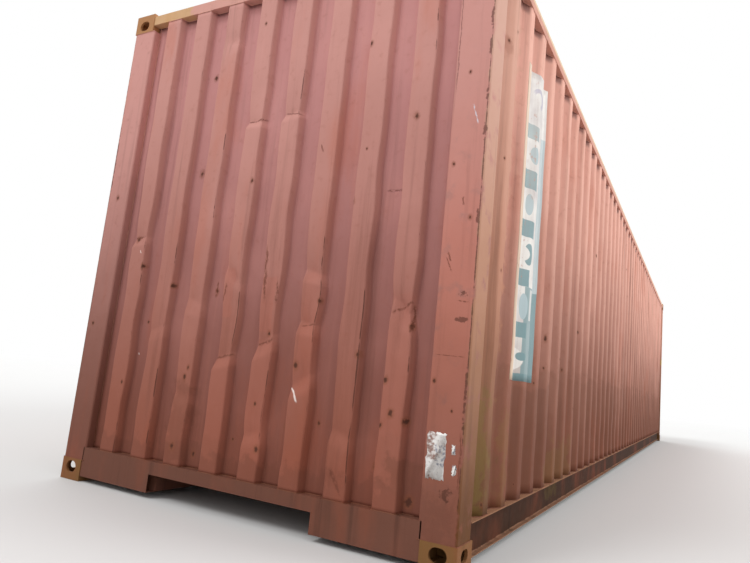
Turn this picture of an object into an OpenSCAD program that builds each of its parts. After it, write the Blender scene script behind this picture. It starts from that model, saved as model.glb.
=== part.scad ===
// Forty-foot high-cube freight container: a welded steel frame on eight cast
// corners, closed by corrugated sheet, with a plywood floor and a tunnel under
// the front for the neck of a road trailer. Millimetres, +Z up. X runs from the
// closed front end (-X) to the doors (+X), and the right side is -Y. The origin
// is on the ground plane, in the middle of the base.

/* [Overall] */
// Length over the corner castings
length = 12192; // [9000:1:14000]
// Width over the corner castings
width = 2438; // [2300:1:2600]
// Height over the corner castings
height = 2896; // [2500:1:3000]

/* [Corner castings] */
// Length of a casting along the container
casting_l = 178; // [170:1:190]
// Width of a casting across the container
casting_w = 162; // [155:1:175]
// Height of a casting
casting_h = 118; // [112:1:125]
// Thickness of the plate that carries the twist-lock slot
casting_plate = 28; // [24:1:32]
// Thickness of the other walls of a casting
casting_wall = 14; // [12:1:18]
// Radius of a casting's outer upright edge
casting_r = 8; // [4:1:12]
// Length of the twist-lock slot
slot_l = 124; // [110:1:128]
// Width of the twist-lock slot
slot_w = 63.5; // [55:0.5:68]
// Distance of the slot's centre from the end of the container
slot_from_end = 103.5; // [98:0.5:108]
// Distance of the slot's centre from the side of the container
slot_from_side = 89.5; // [84:0.5:92]
// Length of the oval holes in the upright faces
oval_l = 79.5; // [70:0.5:84]
// Height of the oval hole in the side face
side_oval_h = 51; // [44:0.5:56]
// Height of the oval hole in the end face
end_oval_h = 63.5; // [55:0.5:66]
// Distance of both ovals' centres from the slotted face
oval_from_slot = 72; // [68:0.5:74]

/* [Frame] */
// How far the frame stands back from the castings' faces
frame_inset = 4; // [2:0.5:8]
// Sheet thickness of the front corner posts
post_t = 6; // [4:0.5:8]
// Width of a front post's face
post_front = 174; // [160:1:180]
// Length of a front post's side face
post_side = 162; // [140:1:170]
// Depth of the posts' side returns and of the front sill
post_return = 52; // [48:1:60]
// Bend radius of the pressed posts and rails
bend_r = 10; // [7:1:14]
// Height of the underside of the base frame over the ground plane
base_z = 30; // [15:1:30]
// Height of a bottom side rail
rail_h = 160; // [150:1:175]
// Width of a bottom rail's upper flange
rail_upper = 48; // [42:1:56]
// Width of a bottom rail's lower flange
rail_lower = 30; // [24:1:40]
// Sheet thickness of the bottom side rails
rail_t = 4.5; // [3:0.5:6]
// Side of the square tubes of the top rails and the front header
top_tube = 60; // [50:1:70]
// Wall of those tubes
tube_t = 3; // [2:0.5:5]
// Drop of the top side rails under the castings' tops
top_rail_drop = 28; // [26:1:40]
// Drop of the front header under the castings' tops
header_drop = 20; // [4:1:28]

/* [Corrugated sheets] */
// Thickness of the side wall sheet
side_t = 1.6; // [1.2:0.1:3]
// Depth of the side wall corrugation
side_depth = 36; // [28:1:38]
// Pitch of the side wall corrugation
side_pitch = 278; // [270:1:300]
// Width of a side wall crest
side_crest = 70; // [60:1:84]
// Width of a side wall slope
side_slope = 66; // [50:1:76]
// Flat of the side wall sheet in front of its first rib
side_first = 85; // [60:1:110]
// Thickness of the front wall sheet
front_t = 2; // [1.5:0.1:3]
// Depth of the front wall corrugation
front_depth = 45.6; // [36:0.1:47]
// Pitch of the front wall corrugation
front_pitch = 250; // [230:1:280]
// Width of a front wall crest
front_crest = 110; // [90:1:120]
// Width of a front wall slope
front_slope = 18; // [12:1:26]
// Thickness of the roof sheet
roof_t = 2; // [1.5:0.1:3]
// Height of the roof ribs
roof_rib = 18; // [10:1:20]
// Pitch of the roof ribs
roof_pitch = 209; // [190:1:240]
// Width of a roof rib's top
roof_crest = 91; // [70:1:100]
// Width of a roof rib's slope
roof_slope = 14; // [10:1:24]
// Width of the flat border along each side of the roof
roof_border = 60; // [40:1:90]
// Thickness of the door panel sheet
door_sheet_t = 2; // [1.5:0.1:3]
// Depth of the door panel corrugation
door_depth = 36; // [24:1:40]

/* [Base] */
// Height of a cross member
member_h = 122; // [110:1:128]
// Width of a cross member's flanges
member_flange = 45; // [35:1:55]
// Thickness of a cross member
member_t = 4; // [3:0.5:6]
// Spacing of the cross members
member_pitch = 304; // [280:1:400]
// Thickness of the plywood floor
floor_t = 28; // [24:1:32]
// Length of one plywood sheet
board_l = 2400; // [1800:1:2600]
// Seam between plywood sheets
board_seam = 3; // [1:0.5:6]
// Length of the neck tunnel from the front end
tunnel_l = 3150; // [2900:1:3300]
// Clear width of the neck tunnel
tunnel_w = 1029; // [980:1:1080]
// Clear height of the neck tunnel over the ground plane
tunnel_h = 120; // [112:1:124]
// Width of the bows over the neck tunnel
bow_w = 90; // [60:1:120]
// Thickness of the tunnel's plates
tunnel_t = 4; // [3:0.5:5]

/* [Door end] */
// Depth of the door plane behind the castings' faces
door_recess = 58; // [54:1:66]
// Thickness of a door leaf's frame
leaf_t = 50; // [44:1:56]
// Width of a leaf's upright frame tubes
leaf_upright = 100; // [80:1:120]
// Height of a leaf's top and bottom frame members
leaf_cross = 150; // [120:1:170]
// Wall of a leaf's frame tubes
leaf_wall = 3; // [2:0.5:4]
// Gap round a leaf that the gasket fills
leaf_gap = 12; // [8:1:16]
// Half of the gap between the two leaves
leaf_meet = 4; // [2:0.5:8]
// Width of a rear post across the container
rear_post_w = 43; // [38:1:48]
// Length of a rear post along the container
rear_post_l = 115; // [100:1:122]
// Depth of the rear header under its top
rear_header_h = 128; // [110:1:140]
// Width of the rear header along the container
rear_header_l = 100; // [80:1:120]
// Thickness of the rear sill and header plates
rear_t = 5; // [4:0.5:8]
// Diameter of a locking bar
bar_d = 34; // [28:1:38]
// Wall of a locking bar
bar_wall = 3; // [2:0.5:5]
// Distance of a locking bar's centre from the door plane
bar_stand = 28; // [24:1:32]
// Distance of an inner locking bar from its leaf's meeting edge
bar_from_meet = 296; // [270:1:330]
// Distance of an outer locking bar from its leaf's hinge edge
bar_from_hinge = 280; // [240:1:320]
// Height of the inner bars' handles
handle_z = 1180; // [900:1:1500]
// Height of the outer bars' handles over the inner ones
handle_step = 250; // [180:1:320]
// Length of a door handle
handle_l = 420; // [360:1:460]
// Thickness of a door handle
handle_t = 12; // [8:1:16]
// How far a handle's hub stands past it, above and below
hub_step = 14; // [8:1:18]
// Width of a handle's catch
catch_w = 48; // [36:1:60]
// Height of a handle's catch
catch_h = 56; // [54:1:66]
// Thickness of a catch's cheeks
catch_t = 9; // [5:1:10]
// Thickness of a catch's face
catch_face = 5; // [3:1:8]
// Clearance of a handle in its catch
catch_play = 1; // [0.5:0.5:2]
// Length of a hinge's blade along the door
blade_l = 90; // [70:1:110]
// Thickness of a hinge's blade
blade_t = 8; // [6:1:10]
// Diameter of a hinge pin
hinge_pin_d = 18; // [14:1:22]
// Height of a hinge knuckle
knuckle_h = 60; // [40:1:80]
// Number of hinges on a leaf
hinge_count = 4; // [3:1:5]
// Distance of the end hinges from a leaf's ends
hinge_margin = 200; // [150:1:300]

/* [Hidden] */
$fn = 48;

paint = "#a55b4d";
post_paint = "#b3734a";
steel_dark = "#6d4238";
wood = "#a98252";
rubber = "#26262a";
zinc = "#8b8d8c";

// Half sizes and the planes that the pieces share
hx = length / 2;
hy = width / 2;
front_x = -hx + frame_inset;
front_wall_x = front_x + 3;
rear_x = hx - door_recess;
rail_top = base_z + rail_h;
member_top = base_z + member_h;
floor_top = member_top + floor_t;
top_rail_z = height - top_rail_drop;
header_z = height - header_drop;
post_end_x = front_x + post_side;
rear_post_x = rear_x - rear_post_l + 12;
rear_post_y = hy - frame_inset - rear_post_w;
casting_in_y = hy - casting_w;
rail_web_y = hy - frame_inset + 1 - rail_upper;
wall_crest_y = hy - frame_inset - 4;
doorway_z = height - header_drop - rear_header_h;
leaf_out_y = rear_post_y - leaf_gap;
leaf_low = floor_top + leaf_gap;
leaf_high = doorway_z - leaf_gap;
bar_inner = leaf_meet + bar_from_meet;
bar_outer = leaf_out_y - bar_from_hinge;
bore_play = 0.3;

// A path turned by a bend at each inner corner, and sheet folded along a path

function unit(v) = v / norm(v);
function side_of(a, b) = let(d = unit(b - a)) [-d.y, d.x];
function bend(a, b, c, r, steps) =
    let(u = unit(a - b), w = unit(c - b), turn = acos(max(-1, min(1, u * w))),
        reach = min(r / tan(turn / 2), norm(a - b) / 2.2, norm(c - b) / 2.2),
        real_r = reach * tan(turn / 2), centre = b + unit(u + w) * (real_r / sin(turn / 2)),
        start = b + u * reach, stop = b + w * reach)
    [for (i = [0:steps]) centre + unit((start - centre) * (1 - i / steps)
        + (stop - centre) * (i / steps)) * real_r];
function rounded(p, r, steps = 3) = [
    p[0],
    for (i = [1:len(p) - 2]) each bend(p[i - 1], p[i], p[i + 1], r, steps),
    p[len(p) - 1]
];
function mitred(p, i, t) =
    let(last = len(p) - 1,
        n1 = side_of(p[max(i - 1, 0)], p[max(i, 1)]),
        n2 = side_of(p[min(i, last - 1)], p[min(i + 1, last)]))
    p[i] + (n1 + n2) * t / (1 + n1 * n2);
function strip(p, t) = concat(p, [for (i = [len(p) - 1:-1:0]) mitred(p, i, t)]);

// Least flat before the first rib of a sheet and after its last
least_flat = 20;
// Corrugation along the first axis, with its crests at 0 and its troughs at depth. The ribs
// stand in the middle of the span, unless the flat before the first one is given
function ribs(span, pitch, crest, slope, first) =
    floor((span - max(first, least_flat) - 2 * slope - crest - least_flat) / pitch) + 1;
function corrugation(span, pitch, crest, slope, depth, first = -1) =
    let(n = ribs(span, pitch, crest, slope, first),
        middle = (span - (n - 1) * pitch - crest) / 2 - slope,
        start = first < 0 ? middle : first)
    [
        [0, depth],
        for (k = [0:n - 1], q = [[0, depth], [slope, 0], [slope + crest, 0],
                                 [2 * slope + crest, depth]])
            [start + k * pitch + q[0], q[1]],
        [span, depth]
    ];

module folded(p, t, h) {
    linear_extrude(h) polygon(strip(p, t));
}

module along_x(x0, y0, z0) {
    translate([x0, y0, z0]) rotate([90, 0, 90]) children();
}

module mirrored_y(yes) {
    if (yes) mirror([0, 1, 0]) children();
    else children();
}

module block(low, high) {
    translate(low) cube(high - low);
}

module tube_box(low, high, t, axis) {
    open = [for (i = [0:2]) i == axis ? -1 : t];
    difference() {
        block(low, high);
        block(low + open, high - open);
    }
}

module casting_blocks() {
    for (x = [-1, 1], y = [-1, 1], z = [0, 1])
        translate([x * hx, y * hy, z * height])
            mirror([x > 0 ? 1 : 0, 0, 0]) mirror([0, y > 0 ? 1 : 0, 0])
            mirror([0, 0, z]) cube([casting_l, casting_w, casting_h]);
}

// Corner castings

module oval(l, w) {
    hull_r = w / 2;
    square([l - w, w], center = true);
    for (s = [-1, 1]) translate([s * (l - w) / 2, 0]) circle(r = hull_r);
}

module casting() {
    r = casting_r;
    outline = concat([[casting_l, 0], [casting_l, casting_w], [0, casting_w]],
        [for (i = [0:4]) [r - r * cos(22.5 * i), r - r * sin(22.5 * i)]]);
    difference() {
        linear_extrude(casting_h) polygon(outline);
        translate([casting_wall, casting_wall, casting_plate])
            cube([casting_l - 2 * casting_wall, casting_w - 2 * casting_wall,
                  casting_h - casting_plate - casting_wall / 2]);
        translate([slot_from_end, slot_from_side, -1])
            linear_extrude(casting_plate + 2) oval(slot_l, slot_w);
        translate([casting_l / 2, casting_wall + 1, oval_from_slot])
            rotate([90, 0, 0]) linear_extrude(casting_wall + 2) oval(oval_l, side_oval_h);
        translate([-1, casting_w / 2, oval_from_slot])
            rotate([90, 0, 90]) linear_extrude(casting_wall + 2) oval(oval_l, end_oval_h);
    }
}

module corner_casting(rear, left, top) {
    color(post_paint)
        translate([rear ? hx : -hx, left ? hy : -hy, top ? height : 0])
            mirror([rear ? 1 : 0, 0, 0]) mirror([0, left ? 1 : 0, 0])
            mirror([0, 0, top ? 1 : 0]) casting();
}

// Posts

module front_post(left) {
    outer_y = -hy + frame_inset;
    inner_y = outer_y + post_front;
    path = [[front_wall_x + front_depth, inner_y], [front_x, inner_y], [front_x, outer_y],
            [post_end_x, outer_y], [post_end_x, outer_y + post_return]];
    color(post_paint) mirrored_y(left) translate([0, 0, casting_h])
        folded(rounded(path, bend_r), post_t, height - 2 * casting_h);
}

function hinge_z(i) = leaf_low + hinge_margin
    + i * (leaf_high - leaf_low - 2 * hinge_margin) / (hinge_count - 1);

hinge_x = hx - 24;
hinge_y = hy - 34;
lug_t = 12;
lug_gap = 1;

module hinge_lug(z) {
    difference() {
        union() {
            translate([hinge_x, -hinge_y, z]) cylinder(r = hinge_pin_d / 2 + 9, h = lug_t);
            block([rear_post_x + rear_post_l - 1, -hinge_y - 12, z],
                  [hinge_x, -hinge_y + 12, z + lug_t]);
        }
        translate([hinge_x, -hinge_y, z - 1])
            cylinder(d = hinge_pin_d + 2 * bore_play, h = lug_t + 2);
    }
}

module rear_post(left) {
    low = [rear_post_x, -hy + frame_inset, casting_h];
    high = [rear_post_x + rear_post_l, -rear_post_y, height - casting_h];
    color(paint) mirrored_y(left) {
        difference() {
            block(low, high);
            block(low + [post_t, post_t, -1], high - [post_t, 2 * post_t, -1]);
        }
        for (i = [0:hinge_count - 1], s = [-1, 1])
            hinge_lug(hinge_z(i) - lug_t / 2 + s * (knuckle_h / 2 + lug_gap + lug_t / 2));
    }
}

// End frames

module front_sill() {
    deep = post_return + 8;
    top = [front_x, -casting_in_y, tunnel_h + tunnel_t];
    color(steel_dark) {
        tube_box(top, [front_x + deep, casting_in_y, rail_top], tube_t, 1);
        for (s = [-1, 1]) mirrored_y(s > 0)
            tube_box([front_x, -casting_in_y, base_z],
                     [front_x + deep, -tunnel_w / 2 - tunnel_t, tunnel_h + tunnel_t],
                     tube_t, 1);
    }
}

module front_header() {
    color(paint)
        tube_box([front_x, -casting_in_y, header_z - top_tube],
                 [front_x + top_tube, casting_in_y, header_z], tube_t, 1);
}

roof_start = -hx + casting_l + 90;
roof_end = hx - casting_l - 90;
roof_side = hy - frame_inset - 24;
plate_t = 4;

module roof_end_plates() {
    color(paint) for (span = [[front_x + top_tube, roof_start],
                              [roof_end, rear_x - rear_header_l]]) difference() {
        block([span[0], -roof_side, top_rail_z], [span[1], roof_side, top_rail_z + plate_t]);
        casting_blocks();
    }
}

module rear_sill() {
    path = [[0, 0], [90, 0], [90, floor_top - base_z], [0, floor_top - base_z],
            [0, floor_top - base_z - 24]];
    color(steel_dark) difference() {
        translate([rear_x - 90, rear_post_y, base_z]) rotate([90, 0, 0])
            folded(rounded(path, bend_r), rear_t, 2 * rear_post_y);
        casting_blocks();
    }
}

module rear_header() {
    color(paint) difference() {
        tube_box([rear_x - rear_header_l, -rear_post_y, doorway_z],
                 [rear_x, rear_post_y, header_z], rear_t, 1);
        casting_blocks();
    }
}

// Side rails

module bottom_rail(left) {
    outer = -hy + frame_inset - 1;
    path = [[outer, rail_h], [outer + rail_upper, rail_h], [outer + rail_upper, 0],
            [outer + rail_upper - rail_lower, 0]];
    color(steel_dark) mirrored_y(left) difference() {
        along_x(post_end_x, 0, base_z)
            folded(rounded(path, bend_r), -rail_t, rear_post_x - post_end_x);
        casting_blocks();
    }
}

module top_rail(left) {
    color(paint) mirrored_y(left)
        difference() {
            tube_box([post_end_x, -hy + frame_inset, top_rail_z - top_tube],
                     [rear_post_x, -hy + frame_inset + top_tube, top_rail_z], tube_t, 0);
            casting_blocks();
        }
}

// Walls and roof

module side_wall(left) {
    span = rear_post_x - post_end_x;
    path = corrugation(span, side_pitch, side_crest, side_slope, side_depth, side_first);
    color(paint) mirrored_y(left)
        translate([post_end_x, -wall_crest_y, rail_top])
            folded(path, side_t, top_rail_z - top_tube - rail_top);
}

module front_wall() {
    span = 2 * casting_in_y;
    path = corrugation(span, front_pitch, front_crest, front_slope, front_depth);
    color(paint)
        translate([front_wall_x, casting_in_y, rail_top]) rotate([0, 0, -90])
            folded(path, front_t, header_z - top_tube - rail_top);
}

// The roof is one pressed sheet: ribs across it that die out before its edges
module roof() {
    span = roof_end - roof_start;
    line = corrugation(span, roof_pitch, roof_crest, roof_slope, roof_rib);
    flat_y = roof_side - roof_border;
    rows = [[-roof_side, 0], [-flat_y, 0], [-flat_y + 2 * roof_slope, 1],
            [flat_y - 2 * roof_slope, 1], [flat_y, 0], [roof_side, 0]];
    n = len(line);
    m = len(rows);
    function level(i, j) = (roof_rib - line[i].y) * rows[j][1];
    points = [
        for (s = [0, roof_t], j = [0:m - 1], i = [0:n - 1])
            [line[i].x, rows[j][0], level(i, j) + s]
    ];
    function at(s, j, i) = s * n * m + j * n + i;
    faces = concat(
        [for (j = [0:m - 2], i = [0:n - 2], q = [0, 1]) q == 0
            ? [at(0, j, i), at(0, j, i + 1), at(0, j + 1, i + 1)]
            : [at(0, j, i), at(0, j + 1, i + 1), at(0, j + 1, i)]],
        [for (j = [0:m - 2], i = [0:n - 2], q = [0, 1]) q == 0
            ? [at(1, j, i), at(1, j + 1, i + 1), at(1, j, i + 1)]
            : [at(1, j, i), at(1, j + 1, i), at(1, j + 1, i + 1)]],
        [for (i = [0:n - 2]) [at(0, 0, i), at(1, 0, i), at(1, 0, i + 1), at(0, 0, i + 1)]],
        [for (i = [0:n - 2])
            [at(0, m - 1, i + 1), at(1, m - 1, i + 1), at(1, m - 1, i), at(0, m - 1, i)]],
        [for (j = [0:m - 2]) [at(0, j + 1, 0), at(1, j + 1, 0), at(1, j, 0), at(0, j, 0)]],
        [for (j = [0:m - 2])
            [at(0, j, n - 1), at(1, j, n - 1), at(1, j + 1, n - 1), at(0, j + 1, n - 1)]]
    );
    color(paint) translate([roof_start, 0, top_rail_z]) polyhedron(points, faces);
}

// Base

module channel_member(x, y0, y1) {
    path = [[member_flange, 0], [0, 0], [0, member_h], [member_flange, member_h]];
    translate([x, y1, base_z]) rotate([90, 0, 0])
        folded(rounded(path, bend_r - 2, 2), -member_t, y1 - y0);
}

members_start = -hx + tunnel_l;
members_end = rear_x - member_pitch / 2;
member_count = floor((members_end - members_start) / member_pitch) + 1;
member_step = (members_end - members_start) / (member_count - 1);

module cross_members() {
    color(steel_dark) for (i = [0:member_count - 1])
        channel_member(members_start + i * member_step, -rail_web_y, rail_web_y);
}

outrigger_start = -hx + casting_l + 120;
outrigger_count = floor((members_start - outrigger_start - 60) / member_pitch) + 1;

module tunnel_outriggers(left) {
    color(steel_dark) mirrored_y(left) for (i = [0:outrigger_count - 1])
        channel_member(outrigger_start + i * member_pitch,
                       -rail_web_y, -tunnel_w / 2 - tunnel_t);
}

tunnel_start = front_x + post_return + 8;

module tunnel_roof() {
    half = tunnel_w / 2 + tunnel_t;
    color(steel_dark) {
        block([tunnel_start, -half, tunnel_h], [members_start, half, tunnel_h + tunnel_t]);
        for (i = [0:outrigger_count - 1])
            tube_box([outrigger_start + i * member_pitch, -half, tunnel_h + tunnel_t],
                     [outrigger_start + i * member_pitch + bow_w, half, member_top],
                     tube_t, 1);
    }
}

module tunnel_sides() {
    half = tunnel_w / 2;
    color(steel_dark) for (s = [-1, 1]) mirrored_y(s > 0)
        block([tunnel_start, -half - tunnel_t, base_z], [members_start, -half, tunnel_h]);
}

module plywood_floor() {
    x0 = front_x + post_return + 8;
    x1 = rear_x - 90;
    half = rail_web_y - rail_t;
    n = ceil((x1 - x0) / board_l);
    step = (x1 - x0) / n;
    color(wood) for (i = [0:n - 1], s = [-1, 1]) mirrored_y(s > 0)
        block([x0 + i * step + (i > 0 ? board_seam / 2 : 0), -half, member_top],
              [x0 + (i + 1) * step - (i < n - 1 ? board_seam / 2 : 0),
               -board_seam / 2, floor_top]);
}

// Doors

module door_frame(left) {
    x0 = rear_x - leaf_t;
    color(paint) mirrored_y(left) {
        for (y = [-leaf_out_y, -leaf_meet - leaf_upright])
            tube_box([x0, y, leaf_low], [rear_x, y + leaf_upright, leaf_high],
                     leaf_wall, 2);
        for (z = [leaf_low, leaf_high - leaf_cross])
            tube_box([x0, -leaf_out_y + leaf_upright, z],
                     [rear_x, -leaf_meet - leaf_upright, z + leaf_cross], leaf_wall, 1);
    }
}

module door_panel(left) {
    y0 = leaf_meet + leaf_upright;
    y1 = leaf_out_y - leaf_upright;
    crest = 130;
    slope = 40;
    pitch = (bar_outer - bar_inner) / 2;
    first = bar_inner - y0 - crest / 2 - slope;
    path = [
        [0, door_depth],
        for (k = [0:2], q = [[0, door_depth], [slope, 0], [slope + crest, 0],
                             [2 * slope + crest, door_depth]])
            [first + k * pitch + q[0], q[1]],
        [y1 - y0, door_depth]
    ];
    color(paint) mirrored_y(left)
        translate([rear_x - door_sheet_t, -y0, leaf_low + leaf_cross]) rotate([0, 0, -90])
            mirror([0, 1, 0]) folded(path, -door_sheet_t, leaf_high - leaf_low - 2 * leaf_cross);
}

module door_gaskets() {
    x0 = rear_x - leaf_t + 8;
    x1 = rear_x - 6;
    color(rubber) {
        for (s = [-1, 1]) mirrored_y(s > 0) {
            block([x0, -rear_post_y, floor_top], [x1, -leaf_out_y, doorway_z]);
            block([x0, -leaf_out_y, floor_top], [x1, -leaf_meet, leaf_low]);
            block([x0, -leaf_out_y, leaf_high], [x1, -leaf_meet, doorway_z]);
        }
        block([x0, -leaf_meet, floor_top], [x1, leaf_meet, doorway_z]);
    }
}

bar_x = rear_x + bar_stand;
bar_low = base_z + 40;
bar_high = header_z - 30;
cam_h = 46;

module locking_bar(y) {
    translate([bar_x, y, bar_low]) difference() {
        cylinder(d = bar_d, h = bar_high - bar_low);
        translate([0, 0, cam_h]) cylinder(d = bar_d - 2 * bar_wall,
                                          h = bar_high - bar_low - 2 * cam_h);
    }
    for (z = [bar_low, bar_high - cam_h])
        block([bar_x - 11, y - 34, z], [bar_x + 11, y + 34, z + cam_h]);
}

module locking_bars(left) {
    color(zinc) mirrored_y(left)
        for (y = [-bar_inner, -bar_outer]) locking_bar(y);
}

module each_bar() {
    for (s = [-1, 1], y = [bar_inner, bar_outer])
        translate([0, s * y, 0]) children();
}

bracket_h = 60;
bracket_zs = [leaf_low + 50, leaf_low + (leaf_high - leaf_low) * 0.26,
              leaf_low + (leaf_high - leaf_low) * 0.68, leaf_high - 50 - bracket_h];

module bar_brackets() {
    color(paint) each_bar() for (z = bracket_zs) difference() {
        union() {
            block([rear_x, -45, z], [rear_x + 4, 45, z + bracket_h]);
            block([rear_x, -bar_d / 2 - 5, z], [bar_x, bar_d / 2 + 5, z + bracket_h]);
            translate([bar_x, 0, z]) cylinder(r = bar_d / 2 + 5, h = bracket_h);
        }
        translate([bar_x, 0, z - 1]) cylinder(d = bar_d + 2 * bore_play, h = bracket_h + 2);
    }
}

module cam_keeper(z) {
    difference() {
        block([rear_x, -52, z], [bar_x + 22, 52, z + cam_h + 12]);
        block([bar_x - bar_d / 2 - 1, -40, z - 1], [bar_x + 30, 40, z + cam_h + 13]);
    }
}

module cam_keepers() {
    color(zinc) each_bar() for (z = [bar_low - 6, bar_high - cam_h - 6]) cam_keeper(z);
}

module door_handle(toward) {
    hub_h = 64;
    difference() {
        union() {
            translate([bar_x, 0, handle_z]) cylinder(r = bar_d / 2 + 4, h = hub_h);
            block([bar_x, toward > 0 ? 0 : -handle_l, handle_z + hub_step],
                  [bar_x + handle_t, toward > 0 ? handle_l : 0, handle_z + hub_h - hub_step]);
        }
        translate([bar_x, 0, handle_z - 1]) cylinder(d = bar_d + 2 * bore_play, h = hub_h + 2);
    }
}

module door_handles() {
    color(zinc) for (s = [-1, 1]) {
        translate([0, s * bar_inner, 0]) door_handle(s);
        translate([0, s * bar_outer, handle_step]) door_handle(-s);
    }
}

catch_in = handle_l / 7;

// A catch holds the end of a handle between its cheeks
module handle_catch(y, z) {
    low = z + hub_step - catch_play;
    high = low + catch_h - 2 * catch_t;
    front = bar_x + handle_t + catch_play;
    difference() {
        block([rear_x, y - catch_w / 2, low - catch_t],
              [front + catch_face, y + catch_w / 2, high + catch_t]);
        block([bar_x - catch_play, y - catch_w / 2 - 6, low], [front, y + catch_w / 2 + 6, high]);
    }
}

module handle_catches() {
    color(zinc) for (s = [-1, 1]) {
        handle_catch(s * (bar_inner + handle_l - catch_in), handle_z);
        handle_catch(s * (bar_outer - handle_l + catch_in), handle_z + handle_step);
    }
}

module hinge_blade(z) {
    difference() {
        union() {
            translate([hinge_x, -hinge_y, z]) cylinder(r = hinge_pin_d / 2 + 8, h = knuckle_h);
            block([rear_x, -leaf_out_y, z],
                  [rear_x + blade_t, -leaf_out_y + blade_l, z + knuckle_h]);
            hinge_strap(z);
        }
        translate([hinge_x, -hinge_y, z - 1])
            cylinder(d = hinge_pin_d + 2 * bore_play, h = knuckle_h + 2);
    }
}

module hinge_strap(z) {
    translate([0, 0, z]) linear_extrude(knuckle_h) polygon([
        [rear_x, -leaf_out_y], [rear_x + blade_t, -leaf_out_y + 4],
        [hinge_x + 8, -hinge_y + 12], [hinge_x - 4, -hinge_y + 4],
    ]);
}

module door_hinges() {
    color(paint) for (s = [-1, 1], i = [0:hinge_count - 1]) mirrored_y(s > 0)
        hinge_blade(hinge_z(i) - knuckle_h / 2);
}

module hinge_pins() {
    color(zinc) for (s = [-1, 1], i = [0:hinge_count - 1]) mirrored_y(s > 0)
        translate([hinge_x, -hinge_y, hinge_z(i) - knuckle_h / 2 - lug_t - 4])
            cylinder(d = hinge_pin_d, h = knuckle_h + 2 * lug_t + 8);
}

corner_casting(false, false, false);  // corner_casting_front_right_bottom
corner_casting(false, true, false);  // corner_casting_front_left_bottom
corner_casting(true, false, false);  // corner_casting_rear_right_bottom
corner_casting(true, true, false);  // corner_casting_rear_left_bottom
corner_casting(false, false, true);  // corner_casting_front_right_top
corner_casting(false, true, true);  // corner_casting_front_left_top
corner_casting(true, false, true);  // corner_casting_rear_right_top
corner_casting(true, true, true);  // corner_casting_rear_left_top
front_post(false);  // front_post_right
front_post(true);  // front_post_left
rear_post(false);  // rear_post_right
rear_post(true);  // rear_post_left
front_sill();
front_header();
rear_sill();
rear_header();
roof_end_plates();
bottom_rail(false);  // bottom_rail_right
bottom_rail(true);  // bottom_rail_left
top_rail(false);  // top_rail_right
top_rail(true);  // top_rail_left
front_wall();
side_wall(false);  // side_wall_right
side_wall(true);  // side_wall_left
roof();
cross_members();
tunnel_outriggers(false);  // tunnel_outriggers_right
tunnel_outriggers(true);  // tunnel_outriggers_left
tunnel_roof();
tunnel_sides();
plywood_floor();
door_frame(false);  // door_frame_right
door_frame(true);  // door_frame_left
door_panel(false);  // door_panel_right
door_panel(true);  // door_panel_left
door_gaskets();
locking_bars(false);  // locking_bars_right
locking_bars(true);  // locking_bars_left
bar_brackets();
cam_keepers();
door_handles();
handle_catches();
door_hinges();
hinge_pins();
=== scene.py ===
"""The looks of a worn forty-foot freight container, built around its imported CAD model.

Metres, in the frame of the CAD part: +Z up, +X from the closed front end to the doors,
and the right side at -Y. The sections follow the container as it is put together.
"""

import math

import bpy
import numpy as np
from mathutils import Euler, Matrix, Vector


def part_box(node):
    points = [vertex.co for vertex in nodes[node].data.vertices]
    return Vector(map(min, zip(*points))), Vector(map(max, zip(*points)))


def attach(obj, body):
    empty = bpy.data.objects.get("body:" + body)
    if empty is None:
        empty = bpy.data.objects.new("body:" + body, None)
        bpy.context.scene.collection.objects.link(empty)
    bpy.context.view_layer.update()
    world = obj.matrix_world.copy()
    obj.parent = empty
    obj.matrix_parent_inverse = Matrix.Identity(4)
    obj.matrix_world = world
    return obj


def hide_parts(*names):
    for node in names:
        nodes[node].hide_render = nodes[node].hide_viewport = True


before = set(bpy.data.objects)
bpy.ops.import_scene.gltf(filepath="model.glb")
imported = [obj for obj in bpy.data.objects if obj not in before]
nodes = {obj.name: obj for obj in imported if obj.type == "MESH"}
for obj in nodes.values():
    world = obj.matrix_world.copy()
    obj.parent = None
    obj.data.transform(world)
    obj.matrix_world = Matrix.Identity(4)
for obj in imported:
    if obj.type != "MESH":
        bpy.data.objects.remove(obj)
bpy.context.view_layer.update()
scene = bpy.context.scene

# The camera
# It stands low in front of the closed end, a little to the right of the container, and
# looks up along the right side, where it was found from the straight edges in the picture.
CAMERA_PLACE = (-8.5019, -2.0667, 0.7508)
CAMERA_TURN = (98.831, -5.592, -61.881)
CAMERA_LENS = 29.281

camera_data = bpy.data.cameras.new("camera")
camera_data.sensor_width = 36.0
camera_data.lens = CAMERA_LENS
camera_data.clip_start = 0.05
camera_data.clip_end = 300.0
camera = bpy.data.objects.new("camera", camera_data)
camera.location = CAMERA_PLACE
camera.rotation_euler = Euler([math.radians(a) for a in CAMERA_TURN], "XYZ")
scene.collection.objects.link(camera)
scene.camera = camera
scene.view_settings.view_transform = "Standard"

# The front wall
# One sheet of two-millimetre steel, folded into eight upright ribs and welded between the
# corner posts, the sill and the header. It is dented, creased, and spotted with rust.
FRONT_PITCH = 0.250
FRONT_CREST = 0.110
FRONT_SLOPE = 0.018
FRONT_DEPTH = 0.0456
FRONT_SHEET = 0.002
FRONT_RIBS = 8
FRONT_BEND = 0.007


def put(tree, kind, inputs=None, **settings):
    """Adds a node, with its settings, and sets or joins its inputs."""
    made = tree.nodes.new(kind)
    for name, value in settings.items():
        setattr(made, name, value)
    for key, value in (inputs or {}).items():
        socket = made.inputs[key]
        if isinstance(value, bpy.types.NodeSocket):
            tree.links.new(value, socket)
        else:
            socket.default_value = value
    return made


def calc(tree, operation, a, b=0.0, c=0.0):
    """The result of a sum, a product or another operation."""
    return put(tree, "ShaderNodeMath", {0: a, 1: b, 2: c}, operation=operation).outputs[0]


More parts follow.
